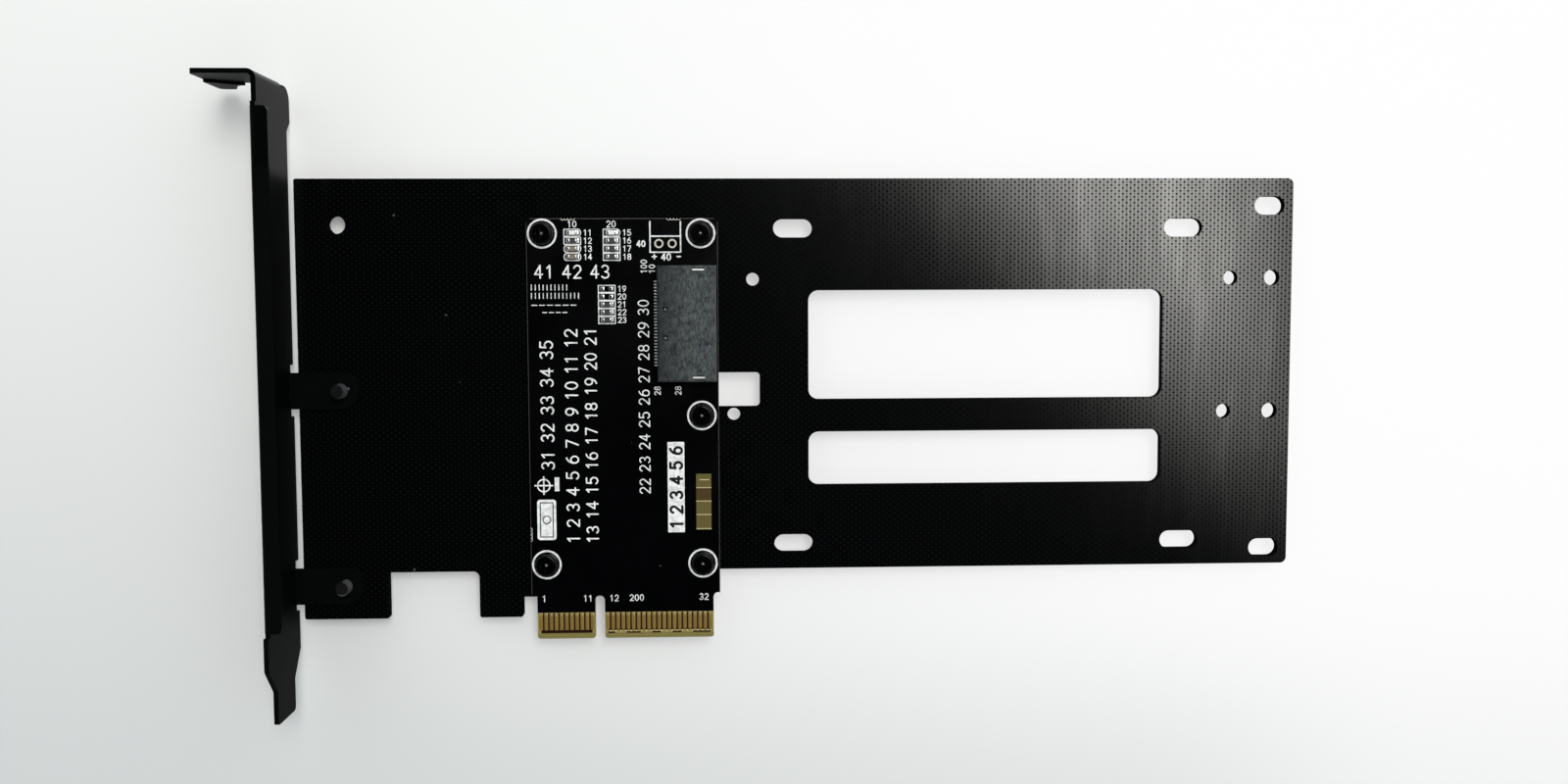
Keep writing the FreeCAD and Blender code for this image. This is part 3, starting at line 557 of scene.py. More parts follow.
def paint_finish(colours):
    """Black powder paint: fine orange peel, a few grains, small scuffs at the foot of the lip, and a duller
    film inside the flange, on the tabs and beside the plate."""
    look = Look("bracket_paint", 170.0, ior=1.08)
    scuff_place = (-90.4 * MM, -40.1 * MM, 18.2 * MM)
    around = fade(distance(look.place, scuff_place), 2.2 * MM, 0.3 * MM)
    scuff = fade(noise(look.place, scale=2600.0, detail=2.0, distortion=1.5), 0.60, 0.68)
    scuff = times(times(scuff, around), 0.7)
    grains = look.effect("dust", scale=520.0, share=0.10)["Grains"]
    worn = most(times(grains, 0.35), scuff)
    base = tint(worn, shades(look.broad, colours.paint, 0.75, 1.35), (0.30, 0.31, 0.31))
    spot = parts(look.place)
    turned = fade(parts(look.normal())[1], -0.6, -0.9)
    flange = times(turned, fade(spot[1], 50.0 * MM, 53.0 * MM, 0.0, 0.55))
    tabs = fade(spot[0], plate_low.x + 1.0 * MM, plate_low.x + 3.0 * MM)
    beside = fade(spot[1], plate_high.y + 3.0 * MM, plate_high.y - 1.5 * MM, 0.0, 0.75)
    dull = most(most(flange, tabs), beside)
    gloss = calc("MULTIPLY_ADD", dull, 0.6, spread(look.broad, 0.07, 0.10))
    peel = calc("ADD", look.broad, times(look.grain, 0.6))
    return look.wire(base, gloss, height=peel, strength=0.15, depth=0.02)


def steel_finish(name, base, roughness, bright):
    """Turned steel: cloudy tone and fine grain, with bare bright grains where it is rubbed."""
    look = Look(name, 420.0, metallic=0.9)
    tone = shades(look.broad, base, 0.6, 1.5)
    tone = look.dusted(tone, (0.45, 0.45, 0.46), scale=2300.0, share=bright, amount=0.6)
    gloss = spread(look.grain, roughness - 0.06, roughness + 0.08)
    return look.wire(tone, gloss, height=look.grain, strength=0.05)


def mask_finish(colours):
    """Black solder mask with faint weave, bare laminate on the cut edges and on the tongue."""
    look = Look("board_mask", 60.0, ior=1.43)
    weave = look.effect("glass weave", across=0.46 * MM, along=0.42 * MM)
    edge = look.effect("laminate edge", normal=look.normal(), pitch=0.18 * MM)
    tongue = calc("LESS_THAN", parts(look.place)[1], finger_high.y + 0.05 * MM)
    bare = most(edge["Wall"], tongue)
    black = shades(look.broad, colours.mask, 0.6, 1.5)
    black = look.dusted(black, (0.25, 0.25, 0.26), scale=760.0, share=0.05, amount=0.35)
    fibre = shades(edge["Lines"], colours.board_fibre, 0.5, 1.35)
    gloss = calc("MULTIPLY_ADD", bare, 0.32, spread(look.broad, 0.13, 0.17))
    rise = calc("MULTIPLY_ADD", weave["Threads"], 0.25, look.grain)
    return look.wire(tint(bare, black, fibre), gloss, height=rise, strength=0.12)


def ink_finish(name, tone, ior):
    """Screen ink: uneven cover and a dry grain."""
    look = Look(name, 900.0, ior=ior)
    base = shades(fade(look.broad, 0.30, 0.62), tone, 0.70, 1.10)
    return look.wire(base, spread(look.grain, 0.50, 0.68), height=look.grain, strength=0.25, depth=0.006)


def marker_finish(colours):
    """Bare laminate windows of the layer marker: each face carries how dark or bright its field is."""
    look = Look("layer_marker", 500.0, ior=1.28)
    threads = look.effect("glass weave", across=0.40 * MM, along=0.36 * MM)["Threads"]
    tone = look.tone()
    dark = tint(threads, (0.050, 0.030, 0.008), (0.075, 0.046, 0.013))
    base = tint(fade(tone, 0.0, 0.5), dark, shades(threads, colours.board_fibre, 0.40, 0.56))
    base = tint(fade(tone, 0.5, 1.0), base, (0.62, 0.56, 0.30))
    return look.wire(base, spread(look.grain, 0.36, 0.52), height=threads)


def fibre_finish():
    """Frayed glass fibre: the face attribute sets how pale it is, broken by grain."""
    look = Look("pale_fibre", 900.0, roughness=0.7)
    worn = times(look.tone(), fade(look.broad, 0.30, 0.62, 0.45, 1.0))
    base = tint(worn, (0.002, 0.002, 0.002), (0.80, 0.79, 0.72))
    return look.wire(base, height=look.grain, strength=0.3)


def gold_finish(colours):
    """Thin gold: each finger has its own tone, a painted highlight that makes its upper end paler, and
    duller patches.
    """
    look = Look("finger_gold", 640.0, ior=1.3)
    tone = look.tone()
    dim, bright = ([v * part for v, part in zip(colours.gold, share)]
                   for share in ((0.88, 0.90, 0.94), (1.06, 1.04, 1.0)))
    # Painted highlight: each finger is mixed towards pale gold over its upper end.
    upper = fade(parts(look.place)[1], finger_high.y - 0.9 * MM, finger_high.y - 0.1 * MM, 0.0, 0.6)
    base = tint(upper, tint(tone, dim, bright), (0.46, 0.37, 0.17))
    base = tint(fade(tone, 1.5, 2.0), base, (0.74, 0.58, 0.34))
    base = tint(fade(look.broad, 0.42, 0.75, 0.0, 0.3), base, scaled(colours.gold, 0.6))
    return look.wire(base, spread(look.grain, 0.36, 0.48), spread(look.broad, 0.45, 0.30),
                     height=look.grain, depth=0.008)


def tin_finish(name, tone, metallic, roughness):
    """Tin and solder: bright, slightly frosted, with a grey bloom."""
    look = Look(name, 1500.0, metallic=metallic)
    base = shades(fade(look.broad, 0.35, 0.65), tone, 0.72, 1.2)
    gloss = spread(look.grain, roughness - 0.05, roughness + 0.05)
    return look.wire(base, gloss, height=look.grain, strength=0.08)


def blade_finish(colours):
    """Tinned blade: a painted highlight along the middle of its thickness, and painted shade towards both
    edges.
    """
    look = Look("blade_metal", 1500.0, metallic=0.4, roughness=0.32)
    middle, half = (blade_low.y + blade_high.y) / 2, (blade_high.y - blade_low.y) / 2
    aside = calc("ABSOLUTE", calc("SUBTRACT", parts(look.place)[1], middle))
    off = calc("ABSOLUTE", calc("SUBTRACT", aside, half - 0.3 * MM))
    # Painted highlight in a narrow line at the middle of each blade's thickness; painted shade, near black,
    # towards its edges.
    bright = shades(look.broad, colours.tin, 1.3, 1.6)
    return look.wire(tint(fade(off, 0.12 * MM, 0.20 * MM), bright, (0.006, 0.006, 0.006)))


def ring_finish(centres):
    """Plated hole: a pale rim round each centre, and painted shade inside it, down the hole."""
    look = Look("plated_rings", 1500.0, metallic=0.2, roughness=0.40)
    spot = parts(look.place)
    level = add_node(look.tree, "CombineXYZ", {0: spot[0], 1: spot[1]}).outputs[0]
    nearest = calc("MINIMUM", *[distance(level, (*centre, 0.0)) for centre in centres])
    # Inside the rim the plating is painted dark: painted shade in the hole.
    rim = fade(nearest, 0.54 * MM, 0.62 * MM)
    pale = tint(look.broad, (0.52, 0.49, 0.43), (0.70, 0.67, 0.60))
    return look.wire(tint(rim, (0.03, 0.026, 0.018), pale))


def plastic_finish(colours):
    """Glass-filled moulding: fine strokes of glass fibre two ways over a soft mottle, with painted shade
    that darkens it towards the tails' side, and rubbed pale at the mouth."""
    look = Look("connector_plastic", 700.0, ior=1.25)
    mottle = times(look.broad, 0.30)
    for turn, part in ((0.7, 0.38), (-0.6, 0.32)):
        flow = stretched(look.place, narrow=0.34, turn=turn)
        strokes = look.effect("cloudy", vector=flow, scale=3600.0)["Broad"]
        mottle = calc("MULTIPLY_ADD", strokes, part, mottle)
    way = parts(look.place)[0]
    # Painted shade: the housing is darkened towards the tails' side, away from the light.
    tails = fade(way, housing_high.x - 4.0 * MM, housing_low.x - 1.5 * MM, 0.0, 0.80)
    mouth = fade(way, housing_high.x - 0.5 * MM, housing_high.x, 0.0, 0.5)
    base = shades(fade(mottle, 0.34, 0.66), colours.plastic, 0.10, 2.1)
    base = tint(tails, base, scaled(colours.plastic, 0.2))
    base = tint(mouth, base, scaled(colours.plastic, 2.2))
    return look.wire(base, spread(mottle, 0.50, 0.64), height=mottle, strength=0.35, depth=0.02)


def ceramic_finish(name, tone, roughness):
    """Fired chip body: cloudy glaze with pin-hole grains."""
    look = Look(name, 1100.0, ior=1.5)
    base = shades(look.broad, tone, 0.65, 1.35)
    base = look.dusted(base, scaled(tone, 2.2), scale=5200.0, share=0.2, amount=0.5)
    return look.wire(base, spread(look.grain, roughness - 0.08, roughness + 0.08), height=look.grain)


def lens_finish(colours):
    """Milky lamp: a warm pale lens over a white base, a little light passing through."""
    look = Look("lamp_lens", 1400.0, ior=1.5, subsurface_weight=0.25, subsurface_scale=0.4 * MM)
    lens = fade(parts(look.place)[2], board_high.z + 0.33 * MM, board_high.z + 0.40 * MM)
    base = tint(lens, (0.72, 0.74, 0.70), shades(look.broad, colours.lens, 0.85, 1.08))
    return look.wire(base, fade(lens, 0.0, 1.0, 0.50, 0.22), height=look.grain, strength=0.1, depth=0.006)


# Places on the board, in millimetres across and down

SCREW_PLACES = ((3.05, 2.9), (33.4, 2.9), (33.4, 38.05), (3.05, 67.0), (33.4, 67.0))
LEFT_COLUMN = [(8.85, 2.75 + 1.54 * row) for row in range(4)]
MIDDLE_COLUMN = [(16.35, 2.75 + 1.54 * row) for row in range(4)]
PULL_UP_COLUMN = [(15.3, 13.5 + 1.5 * row) for row in range(5)]
HEADER_PLACES = ((25.4, 4.85), (27.94, 4.85))
LAMPS = [LEFT_COLUMN[0], MIDDLE_COLUMN[0]]
CAPACITORS = LEFT_COLUMN[2:]
RESISTORS = [LEFT_COLUMN[1]] + MIDDLE_COLUMN[1:] + PULL_UP_COLUMN[2:]
EMPTY = PULL_UP_COLUMN[:2]

# Rows of counting numbers: first, last, across, down, length of the run, height, and whether they read level
LARGE_ROWS = (
    (41, 43, 1.6, 11.4, 14.2, 2.4, True), (31, 35, 4.75, 48.3, 24.8, 2.35, False),
    (1, 12, 9.45, 62.7, 41.4, 2.3, False), (13, 21, 13.1, 62.7, 41.6, 2.15, False),
)
SLIM_ROW = (22, 30, 23.25, 53.2, 37.5, 1.95, False)
LABEL_ROW = (1, 6, 29.45, 60.0, 15.8, 2.25, False)

# Single numbers and signs: text, across, down, height, and whether they read level
SMALL_NUMBERS = (
    ("10", 7.95, 1.68, 1.15, True), ("20", 15.45, 1.68, 1.15, True), ("1", 2.1, 74.3, 1.15, True),
    ("11", 10.1, 74.3, 1.15, True), ("12", 15.2, 74.3, 1.15, True), ("200", 19.1, 74.25, 1.15, True),
    ("32", 32.7, 74.2, 1.15, True), ("28", 25.4, 34.0, 1.1, False), ("28", 29.4, 34.0, 1.1, False),
    ("10", 24.55, 10.5, 1.1, False), ("100", 23.0, 10.5, 1.1, False),
)
HEADER_SIGNS = (
    ("+", 24.1, 8.0, 1.3), ("-", 28.8, 8.0, 1.3), ("40", 25.9, 8.0, 1.2), ("40", 21.2, 5.4, 1.05),
)

# Rows of ticks: first stroke from across, down to across, down, then pitch and count
TICKS = (
    (0.9, 12.7, 0.9, 13.7, 0.75, 10), (0.9, 14.3, 0.9, 15.3, 0.75, 13),
    (0.9, 16.6, 1.9, 16.6, 1.5, 6), (2.95, 18.0, 3.75, 18.0, 1.3, 4),
)
HEADER_FRAME = (
    (23.7, 0.65, 23.7, 6.5), (29.55, 0.65, 29.55, 6.5), (23.7, 6.5, 29.55, 6.5), (23.7, 3.44, 29.55, 3.44),
)
TARGET_CROSS = ((1.0, 51.5, 4.4, 51.5), (2.7, 49.8, 2.7, 53.2))

# Filled fields: left, top, right, bottom and corner radius
INK_FIELDS = (
    (4.81, 49.9, 5.7, 52.6, 0.0), (26.67, 43.18, 29.93, 60.87, 0.15), (1.34, 54.25, 5.01, 62.16, 0.6),
)
MARKER_ROWS = (49.45, 52.16, 54.79, 57.45, 60.39)

# Fingers on both sides of the key notch, those tied to the dots below them, and ties between two dots
FINGER_GROUPS = (np.arange(11), np.arange(13, 34))
TIED_FINGERS = (1, 4, 6, 9, 10, 13, 14, 17)
DOT_TIES = (*TIED_FINGERS, 19)

# Dashes of dark resin below the fingers, from and to, in finger pitches
RESIN_DASHES = ((0.0, 1.4), (3.6, 6.4), (8.6, 10.3), (12.6, 14.4), (16.6, 20.0))


def outline(across, down, round_right, round_left):
    """Printed outline of a chip's place: two long sides, and at each end a straight or a round side."""
    half, high, bow = 1.6, 0.67, 0.5
    left, right = -half + bow * round_left, half - bow * round_right
    sides = [(across + left, down + side, across + right, down + side) for side in (-high, high)]
    lines = board_strokes(*sides)
    for sign, end, bent in ((-1, left, round_left), (1, right, round_right)):
        x, y = on_board(across + end, down)
        lines.append(arc(x, y, sign * bow * MM, high * MM, -90, 90) if bent
                     else run((x, y - high * MM), (x, y + high * MM)))
    return lines


# Operators


def settings(context):
    return context.scene.card_sizes, context.scene.card_colours


class CARD_OT_effects(bpy.types.Operator):
    """Builds the shader effects that the materials share"""

    bl_idname = "card.effects"
    bl_label = "Shared effects"

    def execute(self, context):
        for build in (glass_weave, cloudy, dust, laminate_edge):
            build()
        return {"FINISHED"}


class CARD_OT_plate(bpy.types.Operator):
    """Finishes the carrier plate as black woven laminate"""

    bl_idname = "card.plate"
    bl_label = "Carrier plate"

    def execute(self, context):
        dress(plate_finish(*settings(context)), "carrier_plate")
        return {"FINISHED"}


class CARD_OT_bracket(bpy.types.Operator):
    """Finishes the slot bracket as black painted steel"""

    bl_idname = "card.bracket"
    bl_label = "Slot bracket"

    def execute(self, context):
        dress(paint_finish(context.scene.card_colours), "slot_bracket")
        return {"FINISHED"}


class CARD_OT_fasteners(bpy.types.Operator):
    """Finishes the screws and nuts, with a bare cone left by the drill in each recess of a board screw"""

    bl_idname = "card.fasteners"
    bl_label = "Screws and nuts"

    def execute(self, context):
        colours = context.scene.card_colours
        black = steel_finish("black_screws", scaled(colours.screw, 0.7), roughness=0.13, bright=0.02)
        dress(black, "board_screws")
        rubbed = steel_finish("threaded_tips", scaled(colours.screw, 5.5), roughness=0.20, bright=0.30)
        dress(rubbed, "bracket_screws")
        steel = steel_finish("nut_steel", colours.nut, roughness=0.28, bright=0.10)
        dress(steel, "board_nuts")
        radius, height, floor = 0.42 * MM, 0.40 * MM, head_high.z - 0.8 * MM
        cones = [dome(*on_board(*place), radius, radius, floor, height, squareness=2.0, crown=1.3)
                 for place in SCREW_PLACES]
        add_piece("recess_cones", cones, steel)
        return {"FINISHED"}


class CARD_OT_board(bpy.types.Operator):
    """Finishes the adapter board with solder mask, bare edges and frayed fibre at its break-off notches"""

    bl_idname = "card.board"
    bl_label = "Adapter board"

    def execute(self, context):
        dress(mask_finish(context.scene.card_colours), "adapter_board")
        left, right, top = board_low.x, board_high.x, board_high.y
        shoulder = board_low.y + 8.9 * MM
        step = 0.65 * MM * (np.arange(4) - 1.5)
        radius, short = 0.34 * MM, 8
        middles = (left + 8.0 * MM, right - 8.45 * MM)
        notches = [(x, top, 180, 360) for middle in middles for x in middle + step]
        notches += [(left, y, -90, 90) for y in shoulder + 11.7 * MM + step]
        frayed = [arc(x, y, radius, radius, start + short, end - short, 12) for x, y, start, end in notches]
        inset, gap, corner = 0.07 * MM, 1.5 * MM, 0.8 * MM
        breaks = [middle + side for middle in middles for side in (-gap, gap)]
        stops = [left + corner, *breaks, right - corner]
        rims = [run((a, top - inset), (b, top - inset)) for a, b in zip(stops[::2], stops[1::2])]
        rims += [run((x, top - corner), (x, shoulder)) for x in (left + inset, right - inset)]
        z = board_high.z + FILM
        grids = pen_lines(frayed, 0.13 * MM, z) + pen_lines(rims, 0.11 * MM, z)
        tones = [0.75] * len(frayed) + [0.10] * 3 + [0.04] * 2
        add_piece("edge_fibres", grids, fibre_finish(), tones, thickness=FILM, smooth=False)
        return {"FINISHED"}


class CARD_OT_print(bpy.types.Operator):
    """Prints rings, part outlines, plain counting numbers and fields in white ink"""

    bl_idname = "card.print"
    bl_label = "Printed marks"

    def execute(self, context):
        sizes, colours = settings(context)
        ring_line, slim_line, frame_line = 0.38 * MM, 0.24 * MM, 0.27 * MM
        label_line, inner_line = 0.50 * MM, 0.2 * MM
        rings = [circle(place, sizes.ring_diameter / 2, 49) for place in SCREW_PLACES]
        large = [path for row in LARGE_ROWS for path in counted_row(*row)]
        aside, below, number_height = 2.15, 0.5, 1.05
        thin = []
        for count, place in enumerate(LEFT_COLUMN + MIDDLE_COLUMN + PULL_UP_COLUMN, start=11):
            thin += outline(*place, place in LAMPS + CAPACITORS, place in CAPACITORS)
            thin += label_lines(str(count), place[0] + aside, place[1] + below, number_height)
        for row in SMALL_NUMBERS:
            thin += label_lines(*row)
        for x0, y0, x1, y1, pitch, count in TICKS:
            thin += board_strokes(*[(x0 + pitch * n, y0, x1 + pitch * n, y1) for n in range(count)])
        framed = board_strokes(*HEADER_FRAME)
        for row in HEADER_SIGNS:
            framed += label_lines(*row)
        framed += [circle((2.7, 51.5), 1.2 * MM, 31)] + board_strokes(*TARGET_CROSS)

        z = board_high.z + sizes.ink_thickness
        grids = pen_lines(rings, ring_line, z) + pen_lines(large, sizes.bold_line, z)
        grids += pen_lines(counted_row(*SLIM_ROW), slim_line, z) + pen_lines(thin, sizes.fine_line, z)
        grids += pen_lines(framed, frame_line, z) + [field(z, *row) for row in INK_FIELDS]
        ink = ink_finish("white_ink", colours.ink, ior=1.45)
        add_piece("printed_marks", grids, ink, thickness=sizes.ink_thickness, smooth=False)

        upper = z + sizes.ink_thickness
        corners = [on_board(*place) for place in ((1.95, 54.85), (4.4, 54.85), (4.4, 61.55), (1.95, 61.55))]
        inner = chain(*corners, corners[0]) + [circle((3.17, 58.2), 0.75 * MM, 25)]
        grids = pen_lines(counted_row(*LABEL_ROW), label_line, upper) + pen_lines(inner, inner_line, upper)
        ink = ink_finish("dark_ink", (0.010, 0.010, 0.012), ior=1.15)
        add_piece("label_marks", grids, ink, thickness=sizes.ink_thickness, smooth=False)
        return {"FINISHED"}


class CARD_OT_marker(bpy.types.Operator):
    """Adds the strip of bare laminate windows that shows the board's layers"""

    bl_idname = "card.marker"
    bl_label = "Layer marker"

    def execute(self, context):
        z = board_high.z + FILM
        windows = zip(MARKER_ROWS[:-1], MARKER_ROWS[1:])
        grids = [field(z, 32.18, top, 35.11, bottom) for top, bottom in windows]
        lines = [(32.25, row, 35.05, row) for row in (*MARKER_ROWS[1:4], 60.21)]
        lines += [(32.9, 50.6, 34.65, 50.6)]
        grids += pen_lines(board_strokes(*lines), 0.17 * MM, z + FILM)
        tones = [0.5, 0.0, 0.5, 0.42] + [0.85] * 4 + [1.0]
        look = marker_finish(context.scene.card_colours)
        add_piece("layer_marker", grids, look, tones, thickness=FILM, smooth=False)
        return {"FINISHED"}


class CARD_OT_fingers(bpy.types.Operator):
    """Replaces the upper contact fingers with crowned ones on dark resin, with ties and dots below them"""

    bl_idname = "card.fingers"
    bl_label = "Contact fingers"

    def execute(self, context):
        sizes, colours = settings(context)
        half, pitch, base = sizes.finger_width / 2, sizes.finger_pitch, board_high.z
        rise, top, foot = finger_high.z - base, finger_high.y, finger_low.y
        first, second = (finger_low.x + half + pitch * group for group in FINGER_GROUPS)
        grids = [finger(x, top, foot, half, base, rise, x > first[-1]) for x in (*first, *second)]
        tones = [0.5 + 0.5 * math.sin(2.4 * k + 0.7 * math.sin(1.1 * k)) for k in range(len(grids))]
        row, dot_x, dot_y, tie_line = foot - 0.27 * MM, 0.16 * MM, 0.15 * MM, 0.12 * MM
        dots = [dome(x, row, dot_x, dot_y, base, rise, squareness=2.0, crown=4.0, rings=4, sides=14)
                for x in second[:-1] + pitch / 2]
        ties = [run((second[k], foot + 0.2 * MM), (second[k], row)) for k in TIED_FINGERS]
        ties += [run((second[k] - pitch / 2, row), (second[k] + pitch / 2, row)) for k in DOT_TIES]
        grids += dots + pen_lines(ties, tie_line, base + rise * 0.8)
        tones += [2.0] * len(dots) + [1.7] * len(ties)
        gold = gold_finish(colours)
        fingers = add_piece("contact_fingers", grids, gold, tones)
        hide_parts("contact_fingers_front")
        dress(gold, "contact_fingers_back")

        reaches = ((first, 0.60 * MM), (second, 0.08 * MM))
        fields = [(group[0], top, group[-1], foot - past) for group, past in reaches]
        fields += [(second[0] + a * pitch, foot - 0.40 * MM, second[0] + b * pitch, foot - 0.68 * MM)
                   for a, b in RESIN_DASHES]
        resin = [level_strip(run((x0, y0), (x0, y1)), run((x1, y0), (x1, y1)), base + RESIN_FILM)
                 for x0, y0, x1, y1 in fields]
        look = ink_finish("dark_resin", colours.board_resin, ior=1.12)
        add_piece("finger_resin", resin, look, thickness=RESIN_FILM, smooth=False)
        return {"FINISHED"}


class CARD_OT_connector(bpy.types.Operator):
    """Finishes the drive connector and adds solder on its tails, side tabs and the pips in its pockets"""

    bl_idname = "card.connector"
    bl_label = "Drive connector"

    def execute(self, context):
        sizes, colours = settings(context)
        dress(plastic_finish(colours), "connector_housing")
        metal = tin_finish("contact_metal", colours.tin, metallic=0.9, roughness=0.28)
        dress(metal, "connector_contacts_upper", "connector_contacts_lower")
        dress(blade_finish(colours), "connector_hold_downs")

        base, pitch = board_high.z, sizes.tail_pitch
        count = round((tail_high.y - tail_low.y) / pitch) + 1
        first = (tail_low.y + tail_high.y - (count - 1) * pitch) / 2
        x = (tail_low.x + housing_low.x) / 2 - 0.05 * MM
        bead_x, bead_y, bead_height = 0.42 * MM, 0.165 * MM, 0.21 * MM
        beads = [dome(x, first + n * pitch, bead_x, bead_y, base, bead_height, squareness=4.0, crown=2.4)
                 for n in range(count)]
        # Painted highlight: the beads are coloured near white and not metallic, standing in for the glints
        # of the solder.
        solder = tin_finish("white_solder_painted_highlight", scaled(colours.tin, 1.55), metallic=0.0, roughness=0.30)
        add_piece("tail_solder", beads, solder)

        middle, half = (housing_low.y + housing_high.y) / 2, (housing_high.y - housing_low.y) / 2
        tab_x, pip_x = housing_low.x - 0.08 * MM, housing_low.x + 1.55 * MM
        end, pocket, pip_base = half - 1.05 * MM, 2.725 * MM, housing_high.z - 0.6 * MM
        bits = [dome(tab_x, middle + side * end, 0.075 * MM, 0.95 * MM, base, 0.3 * MM) for side in (-1, 1)]
        pip = (0.30 * MM, 0.28 * MM, pip_base, 0.40 * MM)
        bits += [dome(pip_x, middle + side * pocket, *pip, squareness=3.0) for side in (-1, 1)]
        dull = tin_finish("dull_tin", scaled(colours.tin, 0.45), metallic=0.3, roughness=0.40)
        add_piece("side_tabs", bits, dull)
        return {"FINISHED"}


class CARD_OT_chips(bpy.types.Operator):
    """Finishes chips, lamps and pads, and adds tinned ends, solder ramps and tinned bare pads"""

    bl_idname = "card.chips"
    bl_label = "Chips and lamps"

    def execute(self, context):
        sizes, colours = settings(context)
        dress(ceramic_finish("resistor_body", colours.resistor, roughness=0.34), "chip_resistors")
        dress(ceramic_finish("capacitor_body", colours.capacitor, roughness=0.48), "chip_capacitors")
        dress(lens_finish(colours), "power_lamp", "activity_lamp")
        tin = tin_finish("solder_pads", colours.tin, metallic=1.0, roughness=0.14)
        dress(tin, "chip_pads", "bare_pads")
        dress(ring_finish([on_board(*place) for place in HEADER_PLACES]), "header_holes")

        pad_top, plating = board_high.z + 0.05 * MM, 0.012 * MM
        half, wide = sizes.chip_length / 2, sizes.chip_width / 2 + 0.035 * MM
        reach, flank, climb = 0.44 * MM, 0.43 * MM, 0.62
        ends, ramps = [], []
        for places, height in ((LAMPS, 0.30 * MM), (RESISTORS, 0.47 * MM), (CAPACITORS, 0.72 * MM)):
            for x, y in (on_board(*place) for place in places):
                for side in (-1, 1):
                    outer = x + side * (half + plating)
                    inner = x + side * (half - sizes.terminal_length)
                    low, high = sorted((outer, inner))
                    ends.append(rounded_bar(low, high, y, wide, pad_top, pad_top + height + plating))
                    ramps.append(solder_ramp(outer, side, reach, y, flank, pad_top, height * climb))
        add_piece("chip_ends", ends, tin)
        aside, pad_x, pad_y, bulge = 0.825 * MM, 0.40 * MM, 0.42 * MM, 0.07 * MM
        for x, y in (on_board(*place) for place in EMPTY):
            ramps += [dome(x + side * aside, y, pad_x, pad_y, pad_top, bulge, squareness=6.0, crown=2.5)
                      for side in (-1, 1)]
        solder = tin_finish("frosted_solder", scaled(colours.tin, 1.25), metallic=1.0, roughness=0.18)
        add_piece("chip_solder", ramps, solder)
        return {"FINISHED"}


CAMERA_PLACE = (-6.773, 18.801, 272.961)
CAMERA_TURN = (("X", -0.06759), ("Y", -0.03751), ("Z", -0.00631))


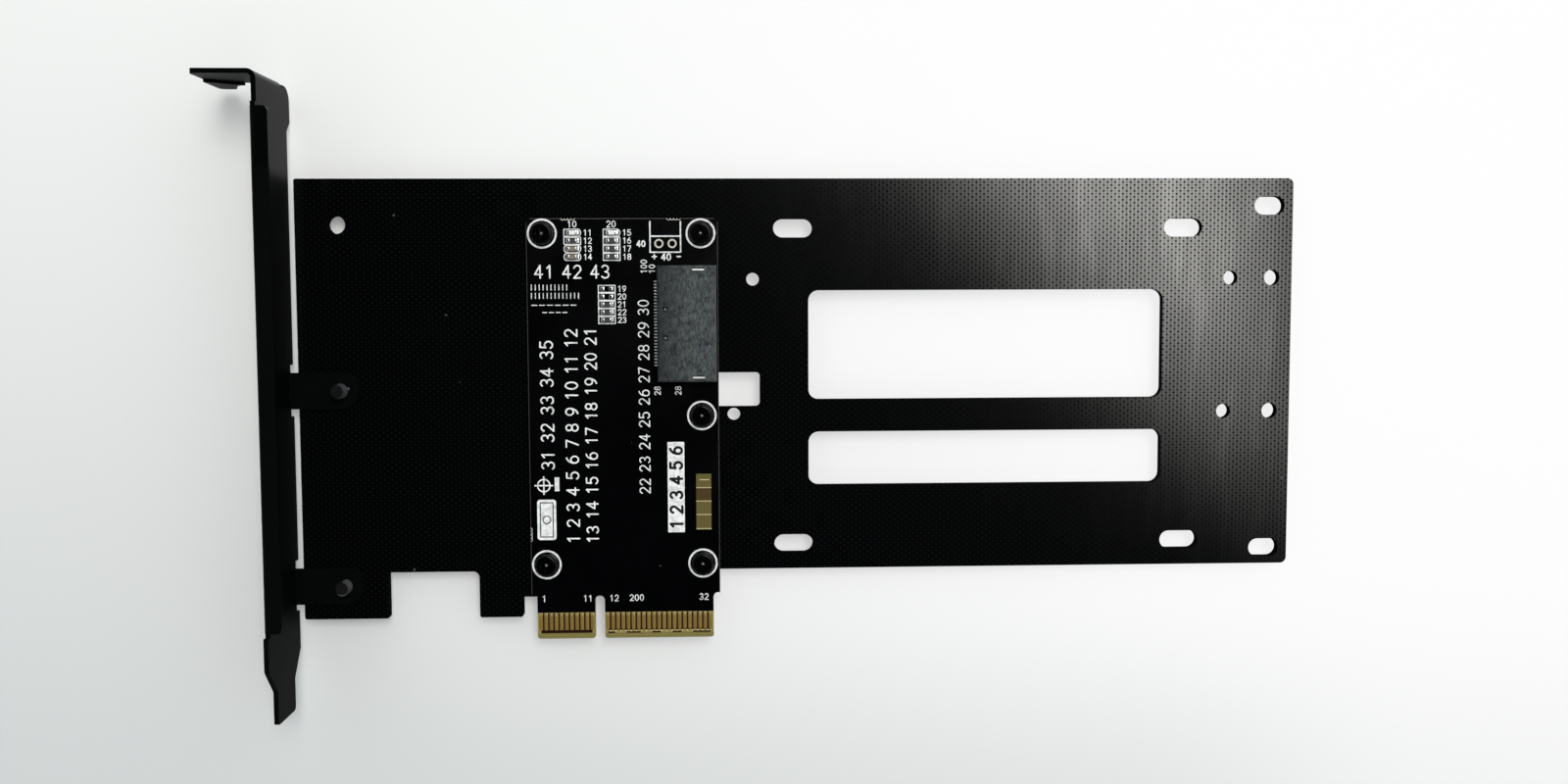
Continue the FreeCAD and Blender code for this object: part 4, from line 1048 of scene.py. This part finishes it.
class CARD_OT_stage(bpy.types.Operator):
    """Lays the pale floor, sets the soft light and places the camera"""

    bl_idname = "card.stage"
    bl_label = "Floor, light and camera"

    def execute(self, context):
        scene = context.scene
        self.lay_floor(scene)
        self.light(scene)
        self.place_camera(scene)
        scene.view_settings.view_transform = "Standard"
        return {"FINISHED"}

    def lay_floor(self, scene):
        """Square sheet under the card.

        Its tone and the share of plain white that the camera sees are slanted planes with soft limits. The
        tone is painted light and shade, brighter to the upper right and darker and bluer to the lower left;
        the white share, larger to the right and top, is painted light that lifts the plate's shadows in its
        holes and windows."""
        reach, drop, count = 2.0, 0.02 * MM, 9
        way = np.linspace(-reach, reach, count)
        points = surface(way[:, None], way, -drop)
        mesh = bpy.data.meshes.new("floor")
        mesh.from_pydata(points.reshape(-1, 3).tolist(), [], grid_faces(count, count).tolist())
        look = Look("pale_floor", 6.0)
        spot = parts(look.place)
        # Painted light and shade: the floor's tone rises to the upper right and falls to the lower left.
        level = calc("MULTIPLY_ADD", spot[0], 0.60, calc("MULTIPLY_ADD", spot[1], 1.9, 0.90))
        level = calc("MULTIPLY_ADD", look.broad, 0.02, calc("SUBTRACT", level, 0.01))
        level = calc("SMOOTH_MAX", calc("SMOOTH_MIN", level, 1.0, 0.15), 0.69, 0.12)
        # Painted shade: where the floor's tone is lower, its colour turns bluer.
        hue = tint(fade(level, 1.0, 0.6, 0.0, 0.75), scene.card_stage.floor, (0.94, 0.972, 1.0))
        look.wire(tint(level, (0.0, 0.0, 0.0), hue), spread(look.grain, 0.60, 0.70))

        ray = add_node(look.tree, "LightPath").outputs
        seen = most(ray["Is Camera Ray"], ray["Is Glossy Ray"])
        seen = most(seen, ray["Is Transmission Ray"])
        # Painted light: the share of plain white rises to the right and top, and lifts the plate's shadows
        # in its holes and windows.
        share = calc("MULTIPLY_ADD", spot[0], 4.2, calc("ADD", spot[1], 0.52))
        share = calc("SMOOTH_MAX", calc("SMOOTH_MIN", share, 0.85, 0.2), 0.08, 0.1)
        least = fade(spot[0], 0.07, 0.14, 0.2, 0.65)
        share = times(share, fade(spot[1], -0.085, -0.035, least, 1.0))
        white = add_node(look.tree, "Emission", {"Color": (1.0, 1.0, 1.0, 1.0), "Strength": 1.0}).outputs[0]
        mixed = {0: times(seen, share), 1: look.shader.outputs[0], 2: white}
        both = add_node(look.tree, "MixShader", mixed).outputs[0]
        link(both, look.tree.get_output_node("ALL").inputs["Surface"])
        mesh.materials.append(look.material)
        floor = bpy.data.objects.new("floor", mesh)
        scene.collection.objects.link(floor)

    def light(self, scene):
        """Pale walls round a dark ceiling with one soft light, which the plate mirrors at its right end.

        Both are smooth steps of a direction's slopes: its way across and its way along over its way up."""
        world = bpy.data.worlds.new("surround")
        scene.world = world
        world.use_nodes = True
        tree = world.node_tree
        tree.nodes.clear()
        axis = parts(add_node(tree, "TexCoord").outputs["Generated"])
        up = most(axis[2], 0.05)
        across, along = calc("DIVIDE", axis[0], up), calc("DIVIDE", axis[1], up)
        lamp = fade(calc("ADD", across, along), 0.18, 0.405)
        for slope, dark, bright in ((across, 0.47, 0.31), (across, -0.05, 0.10), (along, 0.80, 0.55)):
            lamp = times(lamp, fade(slope, dark, bright))
        slopes = add_node(tree, "CombineXYZ", {0: across, 1: along}).outputs[0]
        away = distance(slopes, (-0.12, -0.08, 0.0))
        wall = times(fade(away, 0.55, 0.75), fade(axis[2], 0.1, 0.5, 0.4, 1.0))
        lean = calc("MULTIPLY_ADD", axis[0], 0.10, calc("MULTIPLY_ADD", axis[1], 0.25, 1.0))
        walls = times(times(wall, lean), scene.card_stage.sky_level)
        panel = times(lamp, scene.card_stage.panel_level)
        lights = (((1.0, 0.99, 0.95, 1.0), panel), ((0.95, 1.0, 1.0, 1.0), walls))
        both = [add_node(tree, "Background", {"Color": hue, "Strength": strength}).outputs[0]
                for hue, strength in lights]
        added = add_node(tree, "AddShader", dict(enumerate(both))).outputs[0]
        add_node(tree, "OutputWorld", {"Surface": added})

    def place_camera(self, scene):
        """Camera over the card, tipped a few degrees as the photograph's."""
        data = bpy.data.cameras.new("camera")
        data.lens, data.sensor_width, data.sensor_fit = scene.card_stage.lens, 36.0, "HORIZONTAL"
        data.clip_start, data.clip_end = 0.01, 20.0
        camera = bpy.data.objects.new("camera", data)
        scene.collection.objects.link(camera)
        turn = Matrix.Identity(4)
        for axis, angle in CAMERA_TURN:
            turn = turn @ Matrix.Rotation(angle, 4, axis)
        camera.matrix_world = Matrix.Translation(Vector(CAMERA_PLACE) * MM) @ turn
        scene.camera = camera


OPERATORS = (
    CARD_OT_effects, CARD_OT_plate, CARD_OT_bracket, CARD_OT_fasteners, CARD_OT_board, CARD_OT_print,
    CARD_OT_marker, CARD_OT_fingers, CARD_OT_connector, CARD_OT_chips, CARD_OT_stage,
)


class CARD_PT_panel(bpy.types.Panel):
    """Lists the steps that dress the card"""

    bl_idname = "CARD_PT_panel"
    bl_label = "Drive adapter card"
    bl_space_type = "VIEW_3D"
    bl_region_type = "UI"
    bl_category = "Card"

    def draw(self, context):
        for operator in OPERATORS:
            self.layout.operator(operator.bl_idname)


GROUPS = (CardSizes, CardColours, StageSettings)


def register():
    for made in (*GROUPS, *OPERATORS, CARD_PT_panel):
        bpy.utils.register_class(made)
    bpy.types.Scene.card_sizes = bpy.props.PointerProperty(type=CardSizes)
    bpy.types.Scene.card_colours = bpy.props.PointerProperty(type=CardColours)
    bpy.types.Scene.card_stage = bpy.props.PointerProperty(type=StageSettings)


def unregister():
    for name in ("card_sizes", "card_colours", "card_stage"):
        delattr(bpy.types.Scene, name)
    for made in (CARD_PT_panel, *OPERATORS[::-1], *GROUPS[::-1]):
        bpy.utils.unregister_class(made)


def main():
    register()
    for operator in OPERATORS:
        step = getattr(bpy.ops.card, operator.bl_idname.split(".")[1])
        if step() != {"FINISHED"}:
            raise RuntimeError(operator.bl_label + " was not finished")
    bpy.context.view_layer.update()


if __name__ == "__main__":
    main()
